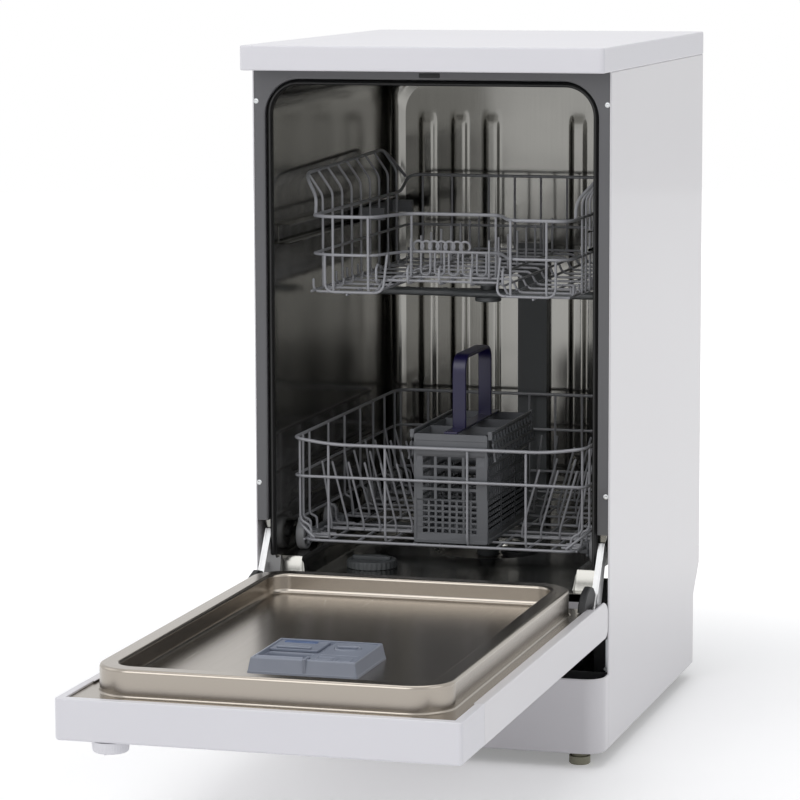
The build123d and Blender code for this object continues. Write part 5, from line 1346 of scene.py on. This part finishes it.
for side, name, hinge_x in ((1, "right", cutlery_right + flap_hinge_gap),
                            (-1, "left", cutlery_left - flap_hinge_gap)):
    points, faces = lid_flap(side)
    piece(f"lid_net_{name}", (points + (hinge_x, 0, flap_hinge_z), faces), dark_grey,
          f"cutlery_flap_{name}", [f"cutlery_flap_{name}"], wall=flap_sheet, crease=0.0)
    pin = rod([(hinge_x, flap_front - pin_reach, flap_hinge_z),
               (hinge_x, flap_rear + pin_reach, flap_hinge_z)], pin_radius)
    piece(f"lid_pin_{name}", pin, dark_grey, f"cutlery_flap_{name}")

# Upper basket
# The same nylon-coated wire. Its floor has a raised middle and a trough on each side, the front rim
# steps back in the middle, and the side walls lean out to two high rails, open at the bottom in loops.
upper_front, upper_back = 41.0, 490.0
upper_half, upper_middle_half = 165.0, 80.0
upper_trough, upper_middle = 560.0, 576.0
upper_rim, upper_back_rim, upper_low_rim = 654.0, 674.0, 607.0
upper_step_front, upper_step_half = 110.0, 60.0
flare_half, flare_z, flare_rise = 186.0, 702.5, 8.5
flare_drop = 27.0
flare_front, flare_back = 92.0, 440.0
upper_rows = np.linspace(upper_front + 16, upper_back - 4, 10)
upper_sides = {1: np.linspace(flare_front + 6, flare_back - 6, 17),
               -1: np.linspace(flare_front + 8, flare_back - 8, 9)}
middle_wires = (-upper_middle_half, -40.0, 0.0, 40.0, upper_middle_half)
trough_wires = (-118.0, 118.0)
front_drops, step_drop = (135.0, 90.0), 54.0
loop_outer, loop_inner = 146.0, 72.0
back_drops = ((146.0, upper_trough), (105.0, upper_trough), (54.0, upper_middle), (18.0, upper_middle))
small_loops, small_loop_half = (-36.0, -18.0, 0.0, 18.0, 36.0), 6.0


def wavy_rim(height, back_height):
    """A rim whose front steps back in its middle between the two troughs."""
    wave = [(-upper_half, upper_front + 14), (-upper_half + 22, upper_front), (-84, upper_front),
            (-upper_step_half, upper_step_front), (upper_step_half, upper_step_front), (88, upper_front),
            (upper_half - 12, upper_front), (upper_half, upper_front + 14)]
    front = [(x, y, height) for x, y in wave]
    back = [(upper_half, upper_back - 40, height), (upper_half, upper_back, back_height),
            (-upper_half, upper_back, back_height), (-upper_half, upper_back - 40, height)]
    return front + back


net = []
for y in upper_rows:
    net.append(rod([(-upper_half, y, upper_trough + 16), (-upper_half, y, upper_trough),
                    (-upper_middle_half - 3, y, upper_trough), (-upper_middle_half + 3, y, upper_middle),
                    (upper_middle_half - 3, y, upper_middle), (upper_middle_half + 3, y, upper_trough),
                    (upper_half, y, upper_trough), (upper_half, y, upper_trough + 16)], net_wire, 8.0))
for x in middle_wires:
    net.append(rod([(x, upper_front + 9, upper_middle + 20), (x, upper_front + 1, upper_middle + 16),
                    (x, upper_front + 1, upper_middle - wire_step),
                    (x, upper_back, upper_middle - wire_step)], net_wire, 12.0))
for x in trough_wires:
    net.append(rod([(x, upper_front, upper_trough - 2.0), (x, upper_back, upper_trough - 2.0)], net_wire))
for x in (-upper_half + 2, upper_half - 2, -upper_middle_half - 3, upper_middle_half + 3):
    net.append(rod([(x, upper_front, upper_trough + 1.5), (x, upper_back, upper_trough + 1.5)], frame_wire))
basket("upper_floor_wires", net, "upper_basket", "upper_basket_floor")

walls = [rod(wavy_rim(upper_rim, upper_back_rim), rim_wire, 16.0, closed=True),
         rod(wavy_rim(upper_low_rim, upper_low_rim), frame_wire, 16.0, closed=True)]
for side in (1, -1):
    rail = [(upper_half, upper_front + 26, upper_rim), (upper_half, upper_front + 30, flare_z - flare_drop),
            (flare_half, flare_front, flare_z), (flare_half, flare_back, flare_z + flare_rise),
            (upper_half, upper_back - 16, upper_back_rim - 2)]
    walls.append(rod(np.array(rail) * (side, 1, 1), rim_wire, 22.0))
    for y in upper_sides[side]:
        rail_height = flare_z + flare_rise * (y - flare_front) / (flare_back - flare_front)
        slant = [(flare_half - 1, y, rail_height), (upper_half + 1, y, rail_height - flare_drop),
                 (upper_half + 1, y, upper_trough - 1),
                 (upper_half - 13, y, upper_trough - 1), (upper_half - 13, y, upper_trough + 9)]
        walls.append(rod(np.array(slant) * (side, 1, 1), net_wire, 7.0))
    for x in front_drops:
        front = [(side * x, upper_front, upper_rim), (side * x, upper_front, upper_trough),
                 (side * x, upper_front + 26, upper_trough)]
        walls.append(rod(front, net_wire, 10.0))
    trough_loop = [(loop_outer, upper_front + 2, upper_low_rim),
                   (loop_outer, upper_front + 2, upper_trough + 1),
                   (loop_inner, upper_front + 2, upper_trough + 1),
                   (loop_inner, upper_front + 22, upper_low_rim)]
    walls.append(rod(np.array(trough_loop) * (side, 1, 1), net_wire, 12.0))
    walls.append(rod([(side * step_drop, upper_step_front, upper_rim),
                      (side * step_drop, upper_step_front, upper_middle)], net_wire))
    for x, foot in back_drops:
        walls.append(rod([(side * x, upper_back, upper_back_rim), (side * x, upper_back, foot)], net_wire))
for x in small_loops:
    left, right = x - small_loop_half, x + small_loop_half
    loop = [(left, upper_step_front, upper_low_rim), (left, upper_step_front, upper_middle + 2),
            (right, upper_step_front, upper_middle + 2), (right, upper_step_front, upper_low_rim)]
    walls.append(rod(loop, prong_wire, 6.0))
basket("upper_wall_wires", walls, "upper_basket", "upper_basket_walls")

# Prongs of the upper basket
# Two rows of short prongs with rounded tops, and small round loops of wire along the stepped front
# that steady the stems of glasses.
upper_prong_rows = (-52.0, 48.0)
upper_prong_start, upper_prong_end = 98.0, 433.0
upper_prong_top = 624.0
loop_radius, loop_places = 6.5, np.linspace(-46.0, 14.0, 7)
prongs = []
for x in upper_prong_rows:
    foot = upper_middle + 1.5
    prongs.append(rod([(x, upper_prong_start, foot), (x, upper_prong_end, foot)], net_wire))
    for y in np.linspace(upper_prong_start + 2, upper_prong_end - 2, 8):
        prongs.append(rod([(x, y, foot - 1), (x, y, upper_prong_top)], prong_wire))
turn = np.linspace(0, 2 * np.pi, 20, endpoint=False)
for x in loop_places:
    loop = np.column_stack([x + loop_radius * np.cos(turn), 0 * turn + upper_step_front + 3,
                            upper_low_rim + loop_radius * (1 + np.sin(turn))])
    prongs.append(swept(loop, circle(prong_wire), closed=True))
basket("upper_prong_wires", prongs, "upper_basket", "upper_basket_tines")

# Rollers and rails
# Small grey rollers on moulded brackets run in C-shaped rails of bright stainless strip, which are
# fixed to the walls of the tub.
roller_inner, rail_middle = 189.0, 632.0
roller_ys = (360.0, 470.0)
roller_profile = [(3.2, 0.0), (4.8, 0.0), (5.2, 0.7), (8.6, 0.7), (9.0, 0.0), (10.2, 0.1), (11.0, 0.9),
                  (11.0, 5.1), (10.2, 5.9), (9.0, 6.0), (8.6, 5.3), (5.2, 5.3), (4.8, 6.0), (3.2, 6.0)]
for number, y in enumerate(roller_ys, 1):
    piece(f"basket_rollers_{number}", pair(roller_profile, roller_inner, y, rail_middle), wheel_plastic,
          f"upper_rollers_{number}", [f"upper_rollers_{number}"])
dress(["upper_roller_brackets"], grey_plastic)

rail_front, rail_back = 32.0, 522.0
rail_inner, rail_outer, rail_race = 188.6, 202.2, 11.95
rail_bend, rail_hem, rail_sheet = 2.0, 2.2, 1.4
turn = np.linspace(0, np.pi / 2, 5)
rail_section = [(rail_inner, rail_race - rail_hem), (rail_inner, rail_race)]
rail_section += list(zip(rail_outer - rail_bend + rail_bend * np.sin(turn),
                         rail_race - rail_bend * (1 - np.cos(turn))))
rail_section = np.array(rail_section)
rail_section = np.vstack([rail_section, rail_section[::-1] * (1, -1)]) + (0, rail_middle)
for side, name in ((1, "right"), (-1, "left")):
    along_y = np.linspace(rail_front, rail_back, 6)
    x = np.broadcast_to(rail_section[:, 0] * side, (len(along_y), len(rail_section)))
    z = np.broadcast_to(rail_section[:, 1], x.shape)
    points = np.stack([x, along_y[:, None] + 0 * x, z], -1).reshape(-1, 3)
    piece(f"rail_strip_{name}", (points, quads(*x.shape)), tub_steel, "cabinet",
          [f"basket_rail_{name}"], wall=rail_sheet)
